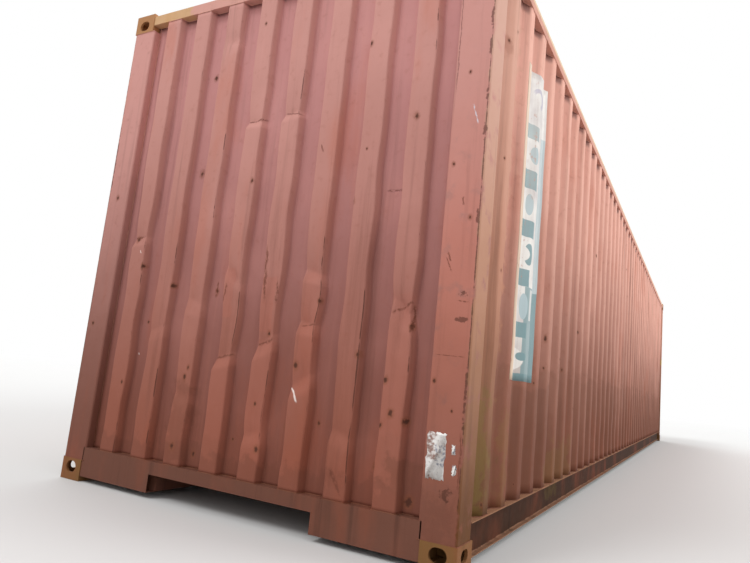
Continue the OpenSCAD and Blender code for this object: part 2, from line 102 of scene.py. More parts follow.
def between(tree, value, low, high):
    """0 at low and below, 1 at high and above, with soft ends."""
    return put(tree, "ShaderNodeMapRange", {"Value": value, "From Min": low, "From Max": high},
               interpolation_type="SMOOTHSTEP").outputs[0]


def painted_over(tree, mask, under, over):
    """One colour over another where the mask is 1."""
    return put(tree, "ShaderNodeMix", {0: mask, 6: under, 7: over}, data_type="RGBA").outputs[2]


def washed(tree, under, over, mask, strength):
    """One colour over another where the mask is 1, and only as strongly as strength."""
    return painted_over(tree, calc(tree, "MULTIPLY", mask, strength), under, over)


def off_centre(tree, place, centre, scale):
    """How far a place is from a centre, with each axis scaled."""
    off = put(tree, "ShaderNodeVectorMath", {0: place, 1: centre}, operation="SUBTRACT")
    off = put(tree, "ShaderNodeVectorMath", {0: off.outputs[0], 1: scale}, operation="MULTIPLY")
    far = put(tree, "ShaderNodeVectorMath", {0: off.outputs[0]}, operation="LENGTH")
    return far.outputs["Value"]


def spread(tree, place, size, stretch=(1, 1, 1), detail=4.0, rough=0.55):
    """Cloudy noise of about that many patches a metre, drawn out along the axes."""
    where = put(tree, "ShaderNodeVectorMath", {0: place, 1: stretch}, operation="MULTIPLY")
    return put(tree, "ShaderNodeTexNoise",
               {"Vector": where.outputs[0], "Scale": size, "Detail": detail,
                "Roughness": rough}).outputs["Fac"]


def shade(red, green, blue):
    """A colour as seen, 0 to 255, as the shader wants it."""
    def linear(v):
        """One channel as an amount of light, 0 to 1."""
        v = v / 255
        return v / 12.92 if v <= 0.04045 else ((v + 0.055) / 1.055) ** 2.4
    return (linear(red), linear(green), linear(blue), 1.0)


def lighter(colour, factor, lift=0.0):
    """A colour made lighter, or darker by a factor under 1."""
    return tuple(min(1.0, c * factor + lift) for c in colour[:3]) + (1.0,)


def start_finish(name):
    """A new material with its shader, and the place on the piece."""
    material = bpy.data.materials.new(name)
    material.use_nodes = True
    tree = material.node_tree
    tree.nodes.clear()
    shader = put(tree, "ShaderNodeBsdfPrincipled", {"Metallic": 0.0, "Specular IOR Level": 0.25})
    out = put(tree, "ShaderNodeOutputMaterial")
    tree.links.new(shader.outputs[0], out.inputs[0])
    place = put(tree, "ShaderNodeTexCoord").outputs["Object"]
    return material, tree, shader, place


def finish_surface(tree, shader, colour, roughness, relief, depth):
    """Joins colour and roughness to the shader, and relief as bump of that depth in metres."""
    tree.links.new(colour, shader.inputs["Base Color"])
    tree.links.new(roughness, shader.inputs["Roughness"])
    bump = put(tree, "ShaderNodeBump", {"Height": relief, "Strength": 1.0, "Distance": depth})
    tree.links.new(bump.outputs[0], shader.inputs["Normal"])


RUST_DARK = shade(74, 45, 36)
RUST_WARM = shade(128, 74, 48)
# Painted shade at the tops of the hollows, where the rail above keeps the sky off
SHADE_UNDER_RAIL = shade(96, 62, 58)
WHITE_LINE = shade(236, 222, 216)
# The faces that look forward lie between these two places along the container
FRONT_FACES = (-6.080, -6.089)
# Heights between which one colour fades into the next one above it
FOOT_TO_CROWN = (0.1, 2.7)
FOOT_TO_MIDDLE = (0.1, 1.5)
MIDDLE_TO_CROWN = (0.9, 2.3)


def patched(tree, colour, patch, axes, ragged, height):
    """The colour with a patch of another over it.

    A patch is (low corner, high corner, colour or (crown, middle, foot), strength, raggedness
    in metres). It has no edge on a side where its corner says None.
    """
    low, high, over, strength, loose = patch
    shift = calc(tree, "MULTIPLY", ragged, loose * 5)
    inside = strength
    for k in range(3):
        for limit, way in ((low[k], 1), (high[k], -1)):
            if limit is None:
                continue
            soft = way * (0.0015 + loose * 0.4)
            edge = between(tree, calc(tree, "ADD", axes[k], shift), limit - soft, limit + soft)
            inside = calc(tree, "MULTIPLY", inside, edge)
    if isinstance(over[0], tuple):
        crown, middle, foot = over
        below = painted_over(tree, between(tree, height, *FOOT_TO_MIDDLE), foot, middle)
        over = painted_over(tree, between(tree, height, *MIDDLE_TO_CROWN), below, crown)
    return painted_over(tree, inside, colour, over)


def spotted(tree, spots, axes, axis, crumbs, pits, halo):
    """Pits and their halos with rust spots among them, each (along the axis, up, radius)."""
    flat = put(tree, "ShaderNodeCombineXYZ", {1: axes[axis], 2: axes[2]}).outputs[0]
    for along, up, radius in spots:
        far = off_centre(tree, flat, (0, along, up), (0, 1, 0.75))
        far = calc(tree, "ADD", far, calc(tree, "MULTIPLY", crumbs, radius * 1.8))
        pits = calc(tree, "MAXIMUM", pits, between(tree, far, radius * 0.95, radius * 0.3))
        halo = calc(tree, "MAXIMUM", halo, between(tree, far, radius * 1.9, radius * 0.6))
    return pits, halo


def scraped(tree, scrapes, axes, ragged, crumbs, pits):
    """Pits with rubbed places of the front among them, each (y, z, half width, half height)."""
    for y, z, wide, tall in scrapes:
        off_y = calc(tree, "DIVIDE", calc(tree, "SUBTRACT", axes[1], y), wide)
        off_z = calc(tree, "DIVIDE", calc(tree, "SUBTRACT", axes[2], z), tall)
        far = calc(tree, "ADD", calc(tree, "POWER", off_y, 2.0), calc(tree, "POWER", off_z, 2.0))
        far = calc(tree, "ADD", far, calc(tree, "MULTIPLY", ragged, 4.0))
        far = calc(tree, "ADD", far, calc(tree, "MULTIPLY", crumbs, 5.0))
        rubbed = calc(tree, "MULTIPLY", between(tree, far, 1.1, 0.3),
                      calc(tree, "MULTIPLY", between(tree, axes[0], *FRONT_FACES), 0.75))
        pits = calc(tree, "MAXIMUM", pits, rubbed)
    return pits


def lined(tree, colour, lines, axes, axis, ragged, crumbs):
    """The colour with thin marks over it, each (along, up, along, up, half width, colour)."""
    for y0, z0, y1, z1, half, over in lines:
        length = math.hypot(y1 - y0, z1 - z0)
        ay, az = (y1 - y0) / length, (z1 - z0) / length
        across = calc(tree, "ADD", calc(tree, "MULTIPLY", axes[axis], -az),
                      calc(tree, "MULTIPLY", axes[2], ay))
        across = calc(tree, "ADD", across, calc(tree, "MULTIPLY", ragged, half * 5))
        across = calc(tree, "ABSOLUTE", calc(tree, "SUBTRACT", across, -y0 * az + z0 * ay))
        along = calc(tree, "ADD", calc(tree, "MULTIPLY", axes[axis], ay),
                     calc(tree, "MULTIPLY", axes[2], az))
        middle = (y0 + y1) / 2 * ay + (z0 + z1) / 2 * az
        along = calc(tree, "ABSOLUTE", calc(tree, "SUBTRACT", along, middle))
        # A dark crease is crumbled and broken, and a white scratch is clean
        crumbled = over is not WHITE_LINE
        if crumbled:
            across = calc(tree, "ADD", across, calc(tree, "MULTIPLY", crumbs, half * 4))
        mark = calc(tree, "MULTIPLY", between(tree, across, half, half * 0.1),
                    between(tree, along, length * 0.55, length * 0.35))
        if crumbled:
            mark = calc(tree, "MULTIPLY", mark, between(tree, crumbs, -0.22, 0.02))
        colour = washed(tree, colour, over, mark, 0.9)
    return colour


def weathered_paint(name, crown, foot, sunk=None, chips=0.0, spots=(), scrapes=(), lines=(),
                    rust=0.5, dirt=0.4, patches=(), axis=1):
    """Faded paint: crown above and foot below.

    sunk is (crown, foot, how, shade_from) for what lies behind the crests, where how gives 0 to 1,
    and the tops of the hollows above the height shade_from get painted shade under the rail. chips
    is how much paint has gone along the folds. spots, scrapes, lines and patches are as the
    functions above take them, and axis is the one that spots and lines count along, 1 at the ends
    and 0 at the sides.
    """
    material, tree, shader, place = start_finish(name)
    axes = put(tree, "ShaderNodeSeparateXYZ", {0: place}).outputs
    cloud = spread(tree, place, 1.4)
    fine = spread(tree, place, 24.0, detail=6.0)
    streak = spread(tree, place, 1.0, stretch=(13, 13, 0.5), detail=6.0, rough=0.62)
    grit = spread(tree, place, 150.0, detail=2.0)
    ragged = calc(tree, "SUBTRACT", spread(tree, place, 11.0, detail=7.0, rough=0.6), 0.5)
    crumbs = calc(tree, "SUBTRACT", spread(tree, place, 55.0, detail=5.0, rough=0.6), 0.5)
    drift = calc(tree, "MULTIPLY", calc(tree, "SUBTRACT", cloud, 0.5), 0.7)
    height = calc(tree, "ADD", axes[2], drift)
    # The paint darkens from crown to foot, as painted shade of the dark ground below
    rise = between(tree, height, *FOOT_TO_CROWN)
    colour = painted_over(tree, rise, foot, crown)
    # On the walls the sunk colours are darker than the crests', as painted shade in the hollows; on
    # the roof they are the rust between its ribs
    if sunk:
        sunk_crown, sunk_foot, how, shade_from = sunk
        behind = calc(tree, "MULTIPLY", how(tree, axes), 0.9)
        colour = painted_over(tree, behind, colour, painted_over(tree, rise, sunk_foot, sunk_crown))
    # Warm clouds, chalky clouds, pale rain streaks and small blotches
    warm = between(tree, spread(tree, place, 2.2, stretch=(1, 2.5, 0.6), detail=5.0), 0.5, 0.72)
    warmth = painted_over(tree, rise, shade(150, 78, 54), shade(198, 116, 92))
    colour = washed(tree, colour, warmth, warm, 0.35)
    pale = painted_over(tree, rise, lighter(foot, 1.35, 0.01), lighter(crown, 1.22, 0.02))
    colour = washed(tree, colour, pale, between(tree, cloud, 0.5, 0.75), 0.22)
    colour = washed(tree, colour, pale, between(tree, streak, 0.45, 0.24), 0.24)
    colour = washed(tree, colour, foot, between(tree, fine, 0.54, 0.8), 0.22)
    if sunk:
        # Painted shade at the tops of the hollows, under the rail above the wall
        under_rail = calc(tree, "ADD", axes[2], calc(tree, "MULTIPLY", ragged, 0.05))
        under_rail = calc(tree, "MULTIPLY", between(tree, under_rail, shade_from, shade_from + 0.035), behind)
        colour = washed(tree, colour, SHADE_UNDER_RAIL, under_rail, 0.75)
    for patch in patches:
        colour = patched(tree, colour, patch, axes, ragged, height)
    # Dark streaks run over the patches
    colour = washed(tree, colour, lighter(foot, 0.42), between(tree, streak, 0.53, 0.75), dirt)
    # Rust: small pits all over, the spots that show, rubbed places and bare folds
    cells = put(tree, "ShaderNodeTexVoronoi", {"Vector": place, "Scale": 7.0})
    pick = put(tree, "ShaderNodeSeparateColor", {0: cells.outputs["Color"]}).outputs[0]
    size = calc(tree, "MULTIPLY", calc(tree, "SUBTRACT", pick, 0.94 - 0.25 * rust), 0.34)
    away = calc(tree, "ADD", cells.outputs["Distance"], calc(tree, "MULTIPLY", crumbs, 0.20))
    pits = calc(tree, "MULTIPLY", between(tree, calc(tree, "SUBTRACT", away, size), 0.01, -0.05),
                min(0.8, 1.3 * rust))
    halo = calc(tree, "MULTIPLY", pits, 0.3)
    pits, halo = spotted(tree, spots, axes, axis, crumbs, pits, halo)
    pits = scraped(tree, scrapes, axes, ragged, crumbs, pits)
    if chips:
        folds = put(tree, "ShaderNodeAttribute", attribute_name="fold_line").outputs["Fac"]
        bare = spread(tree, place, 6.0, stretch=(1, 1, 0.35), detail=7.0, rough=0.65)
        bare = calc(tree, "ADD", bare, calc(tree, "MULTIPLY", folds, 0.5))
        bare = calc(tree, "SUBTRACT", bare,
                    calc(tree, "MULTIPLY", between(tree, axes[2], 1.2, 2.2), 0.05))
        bare = between(tree, bare, 1.16 - chips * 0.1, 1.20 - chips * 0.1)
        pits = calc(tree, "MAXIMUM", pits, calc(tree, "MULTIPLY", bare, 0.8))
    colour = washed(tree, colour, RUST_WARM, halo, 0.5)
    colour = washed(tree, colour, RUST_DARK, pits, 0.85)
    colour = lined(tree, colour, lines, axes, axis, ragged, crumbs)
    rough = calc(tree, "ADD", calc(tree, "MULTIPLY", fine, 0.22), 0.64)
    rough = calc(tree, "ADD", rough, calc(tree, "MULTIPLY", pits, 0.25))
    relief = calc(tree, "ADD", calc(tree, "MULTIPLY", grit, 0.3), calc(tree, "MULTIPLY", fine, 0.8))
    relief = calc(tree, "SUBTRACT", relief, pits)
    finish_surface(tree, shader, colour, rough, relief, 0.0011)
    return material


def behind_crests(first, last):
    """How a sheet lies behind its crests: 0 up to first and 1 from last, of its whole depth."""
    def how(tree, axes):
        """Reads the attribute that folded_sheet gives its points, and not their place."""
        back = put(tree, "ShaderNodeAttribute", attribute_name="set_back").outputs["Fac"]
        return between(tree, back, first, last)
    return how


# The sunk colours paint the hollows darker than the crests, as painted shade
PAINT_CROWN = shade(201, 144, 135)
PAINT_FOOT = shade(144, 84, 66)
SUNK_CROWN = shade(198, 139, 137)
SUNK_FOOT = shade(120, 70, 56)
DARK_LINE = shade(110, 61, 46)
# Painted highlight for the facets below the creases
CREASE_HIGHLIGHT = shade(180, 104, 86)
# (y, z, radius)
FRONT_SPOTS = [
    (0.495, 2.390, 0.013), (0.497, 1.800, 0.016), (0.900, 1.410, 0.013), (0.080, 1.715, 0.010),
    (-0.575, 2.385, 0.011), (-0.865, 1.965, 0.012), (-0.560, 1.570, 0.014),
    (-0.675, 0.840, 0.012), (-0.335, 0.765, 0.014), (-0.870, 0.600, 0.014),
    (-0.825, 0.545, 0.010), (-0.800, 0.365, 0.014), (-0.300, 0.470, 0.012),
    (-0.170, 0.350, 0.014), (0.370, 0.650, 0.012), (0.350, 0.700, 0.010), (0.260, 1.120, 0.012),
    (0.565, 1.140, 0.010), (0.820, 1.250, 0.011), (0.750, 0.930, 0.008), (-0.310, 1.070, 0.010),
    (-0.430, 1.080, 0.010), (-0.925, 0.980, 0.011), (-0.935, 0.570, 0.012),
    (-0.480, 0.510, 0.009), (0.380, 0.290, 0.016), (0.270, 0.260, 0.012), (-0.830, 0.740, 0.012),
    (-0.140, 0.910, 0.011), (0.130, 2.640, 0.008), (-0.970, 0.240, 0.020), (0.840, 0.580, 0.010),
    (-0.120, 0.560, 0.008), (-0.610, 1.830, 0.006), (0.020, 0.370, 0.007),
]
# (y, z, y, z, half width, colour)
FRONT_LINES = [
    (-0.320, 0.668, -0.372, 0.592, 0.008, WHITE_LINE),
    (0.175, 2.062, 0.060, 2.068, 0.007, DARK_LINE),
    (-0.085, 2.080, -0.185, 2.064, 0.005, DARK_LINE),
    (0.180, 0.760, 0.068, 0.788, 0.010, DARK_LINE),
    (-0.080, 0.842, -0.175, 0.886, 0.009, DARK_LINE),
    (0.950, 1.415, 0.840, 1.428, 0.008, DARK_LINE),
    (-0.830, 1.035, -0.925, 1.092, 0.008, DARK_LINE),
    (-0.340, 0.958, -0.420, 0.968, 0.005, DARK_LINE),
    (-0.345, 1.880, -0.362, 1.835, 0.005, DARK_LINE),
    (-0.078, 1.360, -0.092, 1.070, 0.009, DARK_LINE),
    (-0.160, 1.180, -0.164, 1.060, 0.009, DARK_LINE),
    (0.165, 1.160, 0.180, 1.020, 0.008, DARK_LINE),
    (-0.595, 0.330, -0.655, 0.215, 0.010, DARK_LINE),
    (-0.720, 1.626, -0.822, 1.624, 0.007, shade(120, 72, 66)),
    (0.262, 1.175, 0.262, 1.085, 0.009, DARK_LINE),
    (-0.928, 1.080, -0.930, 0.940, 0.008, DARK_LINE),
    (0.852, 1.345, 0.846, 1.325, 0.004, WHITE_LINE),
    (0.966, 0.720, 0.964, 0.680, 0.004, WHITE_LINE),
    (0.792, 0.752, 0.786, 0.740, 0.004, WHITE_LINE),
]
FRONT_PATCHES = [
    # Brown stains low down
    ((None, -1.04, 0.28), (None, -0.86, 0.42), shade(108, 66, 50), 0.4, 0.05),
    ((None, 0.30, 0.20), (None, 0.46, 0.62), shade(112, 66, 50), 0.35, 0.06),
    # Painted highlights on the facets below the creases
    ((None, 0.060, 0.36), (None, 0.19, 0.775), CREASE_HIGHLIGHT, 0.15, 0.02),
    ((None, -0.190, 0.30), (None, -0.06, 0.870), CREASE_HIGHLIGHT, 0.15, 0.02),
    ((None, -0.440, 0.98), (None, -0.31, 1.215), CREASE_HIGHLIGHT, 0.15, 0.02),
    ((None, -0.440, 0.62), (None, -0.31, 0.960), CREASE_HIGHLIGHT, 0.12, 0.02),
    ((None, -0.945, 0.50), (None, -0.82, 1.120), CREASE_HIGHLIGHT, 0.12, 0.03),
    ((None, 0.120, 0.98), (None, 0.18, 1.240), CREASE_HIGHLIGHT, 0.25, 0.01),
    ((None, -0.150, 0.92), (None, -0.07, 1.200), CREASE_HIGHLIGHT, 0.22, 0.01),
    # Dirt along the foot
    ((None, None, None), (None, None, 0.29), shade(106, 62, 48), 0.35, 0.06),
]


def rib_cell(pitch, crest, slope, depth, radius, flat_parts):
    """One rib with half a hollow on each side of it.

    Gives rows of: along, behind the crests, and how much of a fold it is. The fold where a
    crest begins counts full.
    """
    half = (pitch - crest - 2 * slope) / 2
    corners = [(0, depth), (half, depth), (half + slope, 0), (half + slope + crest, 0),
               (half + 2 * slope + crest, depth), (pitch, depth)]
    corners = [np.array(c, float) for c in corners]
    line = [(*corners[0], 0.0)]
    fold = iter((0.4, 1.0, 0.6, 0.45))
    for a, b, c in zip(corners, corners[1:], corners[2:]):
        u = (a - b) / np.linalg.norm(a - b)
        w = (c - b) / np.linalg.norm(c - b)
        start, stop = b + u * radius, b + w * radius
        flat = np.linspace(line[-1][:2], start, flat_parts + 1)[1:]
        line += [(*p, 0.0) for p in flat]
        worn = next(fold)
        for t in (0.33, 0.67, 1.0):
            p = (1 - t) ** 2 * start + 2 * t * (1 - t) * b + t * t * stop
            line.append((*p, worn if t < 0.9 else worn * 0.6))
    line += [(*p, 0.0) for p in np.linspace(line[-1][:2], corners[-1], flat_parts + 1)[1:]]
    return np.array(line)


def sheet_grid(line, levels):
    """Vertices, faces and fold values of a sheet that stands on a folded line."""
    n, m = len(line), len(levels)
    verts = [(p[0], p[1], z) for z in levels for p in line]
    faces = [(j * n + i, j * n + i + 1, (j + 1) * n + i + 1, (j + 1) * n + i)
             for j in range(m - 1) for i in range(n - 1)]
    return verts, faces, [p[2] for _ in levels for p in line]


def new_tree(name, inputs, output):
    """A Geometry Nodes tree with named inputs, and its group's two ends."""
    tree = bpy.data.node_groups.new(name, "GeometryNodeTree")
    for label, kind in inputs:
        tree.interface.new_socket(label, in_out="INPUT", socket_type="NodeSocket" + kind)
    tree.interface.new_socket(output, in_out="OUTPUT", socket_type="NodeSocketGeometry")
    return tree, put(tree, "NodeGroupInput").outputs, put(tree, "NodeGroupOutput")


def end_tree(tree, geometry, finish, result):
    """Ends a tree in real meshes with their finish."""
    real = put(tree, "GeometryNodeRealizeInstances", {"Geometry": geometry})
    finished = put(tree, "GeometryNodeSetMaterial",
                   {"Geometry": real.outputs[0], "Material": finish})
    tree.links.new(finished.outputs[0], result.inputs[0])
    return tree


def rib_repeater():
    """Geometry Nodes: sets one rib's cell out along the wall and joins the flat ends to it."""
    tree, given, result = new_tree(
        "ribs of a folded sheet", [("Cell and ends", "Geometry"), ("Ribs", "Int"),
                                   ("Pitch", "Float"), ("Finish", "Material")], "Sheet")
    is_end = put(tree, "GeometryNodeInputNamedAttribute", {"Name": "flat_end"},
                 data_type="BOOLEAN").outputs[0]
    parts = put(tree, "GeometryNodeSeparateGeometry", {"Geometry": given[0], "Selection": is_end},
                domain="FACE").outputs
    step = put(tree, "ShaderNodeCombineXYZ", {0: given["Pitch"]}).outputs[0]
    row = put(tree, "GeometryNodeMeshLine", {"Count": given["Ribs"], "Offset": step})
    placed = put(tree, "GeometryNodeInstanceOnPoints",
                 {"Points": row.outputs[0], "Instance": parts[1]})
    real = put(tree, "GeometryNodeRealizeInstances", {"Geometry": placed.outputs[0]})
    joined = put(tree, "GeometryNodeJoinGeometry")
    tree.links.new(real.outputs[0], joined.inputs[0])
    tree.links.new(parts[0], joined.inputs[0])
    merged = put(tree, "GeometryNodeMergeByDistance",
                 {"Geometry": joined.outputs[0], "Distance": 0.0002})
    return end_tree(tree, merged.outputs[0], given["Finish"], result)


RIBS = rib_repeater()


def with_tree(mesh, tree, values):
    """The mesh that a Geometry Nodes tree makes from this one, with the named inputs."""
    carrier = bpy.data.objects.new("carrier", mesh)
    scene.collection.objects.link(carrier)
    modifier = carrier.modifiers.new("tree", "NODES")
    modifier.node_group = tree
    for item in tree.interface.items_tree:
        if item.in_out == "INPUT" and item.name in values:
            modifier[item.identifier] = values[item.name]
    bpy.context.view_layer.update()
    graph = bpy.context.evaluated_depsgraph_get()
    result = bpy.data.meshes.new_from_object(carrier.evaluated_get(graph))
    bpy.data.objects.remove(carrier)
    return result


def new_mesh(name, verts, faces, edges=()):
    """A mesh from lists of its vertices, its faces and, where it has none, its edges."""
    mesh = bpy.data.meshes.new(name)
    mesh.from_pydata(verts, edges, faces)
    return mesh


def folded_sheet(ribs, pitch, cell, first, length, levels, finish):
    """A corrugated sheet along +X from 0 to length, crests at Y 0 and hollows behind them."""
    depth = cell[0][1]
    last = first + ribs * pitch
    rows = [[(first + p[0], p[1], p[2]) for p in cell]]
    rows += [[(x, depth, 0.0) for x in stations] for stations in
             ((0.0, first * 0.5, first), (last, (last + length) / 2, length))]
    verts, faces, folds, flags = [], [], [], []
    for row in rows:
        more, quads, values = sheet_grid(row, levels)
        faces += [tuple(i + len(verts) for i in q) for q in quads]
        verts += more
        folds += values
        flags += [row is not rows[0]] * len(quads)
    mesh = new_mesh("cell", verts, faces)
    mesh.attributes.new("flat_end", "BOOLEAN", "FACE").data.foreach_set("value", flags)
    mesh.attributes.new("fold_line", "FLOAT", "POINT").data.foreach_set("value", folds)
    mesh.attributes.new("set_back", "FLOAT", "POINT").data.foreach_set(
        "value", [v[1] / depth for v in verts])
    made = with_tree(mesh, RIBS, {"Ribs": ribs, "Pitch": pitch, "Finish": finish})
    made.attributes.remove(made.attributes["flat_end"])
    return made


def moved_points(mesh, change):
    """Sends every vertex, as rows of x, y and z, through a function."""
    points = np.zeros(len(mesh.vertices) * 3)
    mesh.vertices.foreach_get("co", points)
    mesh.vertices.foreach_set("co", change(points.reshape(-1, 3)).astype(np.float32).ravel())
    mesh.update()


def sway(a, b, seed, reach):
    """A smooth uneven wave over two directions, the same on each run."""
    rng = np.random.default_rng(seed)
    total = np.zeros_like(a)
    for _ in range(7):
        fa, fb = rng.uniform(0.6, 3.4, 2) * rng.choice([-1, 1], 2)
        total += np.sin(fa * a * 2.2 + fb * b * 2.2 + rng.uniform(0, 6.28)) * rng.uniform(0.3, 1.0)
    return total / 3.2 * reach


def add_piece(name, mesh, smooth=40):
    """A new piece that rides on the container, with edges sharp over that angle in degrees."""
    piece = bpy.data.objects.new(name, mesh)
    scene.collection.objects.link(piece)
    mesh.polygons.foreach_set("use_smooth", [True] * len(mesh.polygons))
    mesh.set_sharp_from_angle(angle=math.radians(smooth))
    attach(piece, "root")
    return piece


def sheet_thickness(piece, thickness):
    """Gives a sheet its thickness, behind the face that was made."""
    solid = piece.modifiers.new("thickness", "SOLIDIFY")
    solid.thickness = thickness
    solid.offset = -1.0
    solid.use_even_offset = True


wall_low, wall_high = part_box("front_wall")
# The sunk colours paint the hollows darker than the crests as painted shade, and the slopes keep
# the crests' paint up to 0.40 of their depth
front_paint = weathered_paint(
    "faded paint of the front wall", PAINT_CROWN, PAINT_FOOT,
    sunk=(SUNK_CROWN, SUNK_FOOT, behind_crests(0.40, 1.0), 2.775), chips=1.2,
    spots=FRONT_SPOTS, lines=FRONT_LINES, rust=0.30, dirt=0.34, patches=FRONT_PATCHES)
cell = rib_cell(FRONT_PITCH, FRONT_CREST, FRONT_SLOPE, FRONT_DEPTH, FRONT_BEND, 5)
# Rows lie closer where the sheet is creased
steps = [(wall_low.z, 0.60, 24), (0.60, 1.46, 86), (1.46, 2.00, 15), (2.00, 2.13, 13),
         (2.13, wall_high.z, 24)]
levels = np.concatenate([np.linspace(a, b, n, endpoint=False) for a, b, n in steps]
                        + [[wall_high.z]])
front_wide = wall_high.y - wall_low.y
front_first = (front_wide - FRONT_RIBS * FRONT_PITCH) / 2
front_mesh = folded_sheet(FRONT_RIBS, FRONT_PITCH, cell, front_first, front_wide, levels,
                          front_paint)

# (y, z, half width, half height, depth)
DENTS = [
    (0.100, 1.060, 0.050, 0.140, 0.012), (-0.150, 1.180, 0.050, 0.170, 0.012),
    (-0.390, 1.080, 0.060, 0.100, 0.008), (-0.380, 0.730, 0.055, 0.080, 0.006),
    (-0.880, 0.960, 0.045, 0.110, 0.012), (-0.630, 0.250, 0.060, 0.060, 0.012),
    (0.360, 2.560, 0.050, 0.050, 0.008), (0.620, 1.300, 0.070, 0.300, 0.005),
    (0.120, 2.250, 0.060, 0.120, 0.005), (-0.620, 1.900, 0.060, 0.250, 0.005),
    (0.870, 0.700, 0.060, 0.200, 0.006), (-0.120, 0.560, 0.050, 0.120, 0.006),
]
# (y, z, half width, rise above, turn below, depth, slant), where a blow has pushed a rib in
# above the line and it turns back below it
FOLDS = [
    (0.125, 2.063, 0.070, 0.130, 0.040, 0.020, 0.02),
    (-0.125, 2.078, 0.070, 0.120, 0.040, 0.018, -0.16),
    (0.125, 0.786, 0.064, 0.200, 0.070, 0.028, -0.25),
    (-0.125, 0.880, 0.064, 0.240, 0.090, 0.030, -0.46),
    (-0.375, 1.225, 0.066, 0.100, 0.060, 0.022, 0.20),
    (-0.375, 0.972, 0.062, 0.080, 0.060, 0.024, 0.12),
    (0.880, 1.420, 0.064, 0.110, 0.050, 0.020, -0.12),
    (-0.880, 1.070, 0.060, 0.050, 0.100, 0.028, 0.60),
    (0.360, 2.590, 0.060, 0.070, 0.040, 0.016, 0.10),
    (0.125, 1.210, 0.060, 0.080, 0.060, 0.018, 0.80),
    (-0.375, 0.700, 0.060, 0.090, 0.070, 0.020, -0.50),
    (0.375, 1.060, 0.060, 0.120, 0.080, 0.014, 0.30),
    (0.625, 0.900, 0.060, 0.100, 0.070, 0.014, -0.30),
    (-0.625, 0.480, 0.060, 0.080, 0.060, 0.018, 0.25),
    (-0.125, 0.420, 0.060, 0.080, 0.060, 0.016, -0.20),
    (0.375, 0.560, 0.060, 0.100, 0.060, 0.014, 0.20),
]
# The welds hold the wall's rim, this far in from its top and foot and from its two edges
RIM_TALL = 0.12
RIM_WIDE = 0.06
RIM_INNER = 1.04
# The wall is nowhere pushed in further than this behind its hollows
PUSHED_MOST = 0.012


def beaten(points):
    """Sets the folded sheet up as the front wall, and beats its dents into it."""
    y = wall_low.y + points[:, 0]
    x = wall_low.x + points[:, 1]
    z = points[:, 2]
    rim = np.clip(np.minimum(z - wall_low.z, wall_high.z - z) / RIM_TALL, 0, 1)
    rim *= np.clip((RIM_INNER - np.abs(y)) / RIM_WIDE, 0, 1)
    push = np.abs(sway(y * 1.5, z, 5, 0.0035))
    pinch = np.zeros_like(y)
    for dy, dz, half, tall, depth in DENTS:
        push = push + depth * np.exp(-((y - dy) / half) ** 2 - ((z - dz) / tall) ** 2)
    for dy, dz, half, rise, turn, depth, slant in FOLDS:
        s = z - dz - slant * (y - dy)
        fall = np.where(s > 0, np.exp(-s / rise), np.clip(1 + s / turn, 0, 1))
        fall = fall * np.exp(-((y - dy) / half) ** 4)
        push = push + depth * fall
        pinch = pinch - (y - dy) * fall * depth * 20
    x = np.minimum(x + push * rim, wall_low.x + FRONT_DEPTH + PUSHED_MOST)
    loose = 0.4 + 0.6 * np.clip((2.0 - z) / 0.7, 0, 1)
    y = y + (pinch + sway(z * 3.4, y * 2.0, 8, 0.0085) * loose) * rim
    return np.stack([x, y, z], axis=1)


moved_points(front_mesh, beaten)
front_mesh.flip_normals()
front_wall = add_piece("front_wall_sheet", front_mesh)
sheet_thickness(front_wall, FRONT_SHEET)
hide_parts("front_wall")

# The side walls
# Thinner sheet in wide ribs, welded end to end into one wall on each side. Painted shade darkens
# the hollows behind the crests, and moss and road dirt have settled low on the right side.
SIDE_PITCH = 0.278
SIDE_CREST = 0.070
SIDE_SLOPE = 0.066
SIDE_DEPTH = 0.036
SIDE_SHEET = 0.0016
SIDE_RIBS = 42
SIDE_FIRST = 0.047
SIDE_LEVELS = 46
SIDE_BEND = 0.010

side_low, side_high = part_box("side_wall_right")
MOSS = shade(122, 106, 46)
EDGE_RIB = (shade(206, 156, 136), shade(190, 132, 104), shade(88, 58, 24))
# (x, z, radius)
SIDE_SPOTS = [
    (-4.70, 1.08, 0.015), (-4.75, 0.95, 0.011), (-4.15, 0.92, 0.010), (-4.84, 0.63, 0.008),
    (-5.33, 0.58, 0.007), (-4.31, 0.47, 0.010), (-2.85, 1.17, 0.013), (-4.70, 0.90, 0.008),
    (-4.33, 0.98, 0.007), (-5.79, 0.24, 0.008), (-5.25, 0.27, 0.007), (-3.60, 1.24, 0.011),
    (-4.96, 0.80, 0.007), (-3.79, 0.66, 0.010), (-2.06, 0.95, 0.013), (-5.27, 0.81, 0.007),
    (-5.81, 2.44, 0.009), (-5.73, 2.53, 0.007), (-5.96, 1.55, 0.007), (-5.79, 1.84, 0.006),
    (-5.74, 1.30, 0.007), (-4.26, 2.18, 0.008), (-3.00, 1.98, 0.010), (-4.55, 1.77, 0.007),
    (-0.76, 2.31, 0.011), (-3.42, 2.23, 0.008),
]
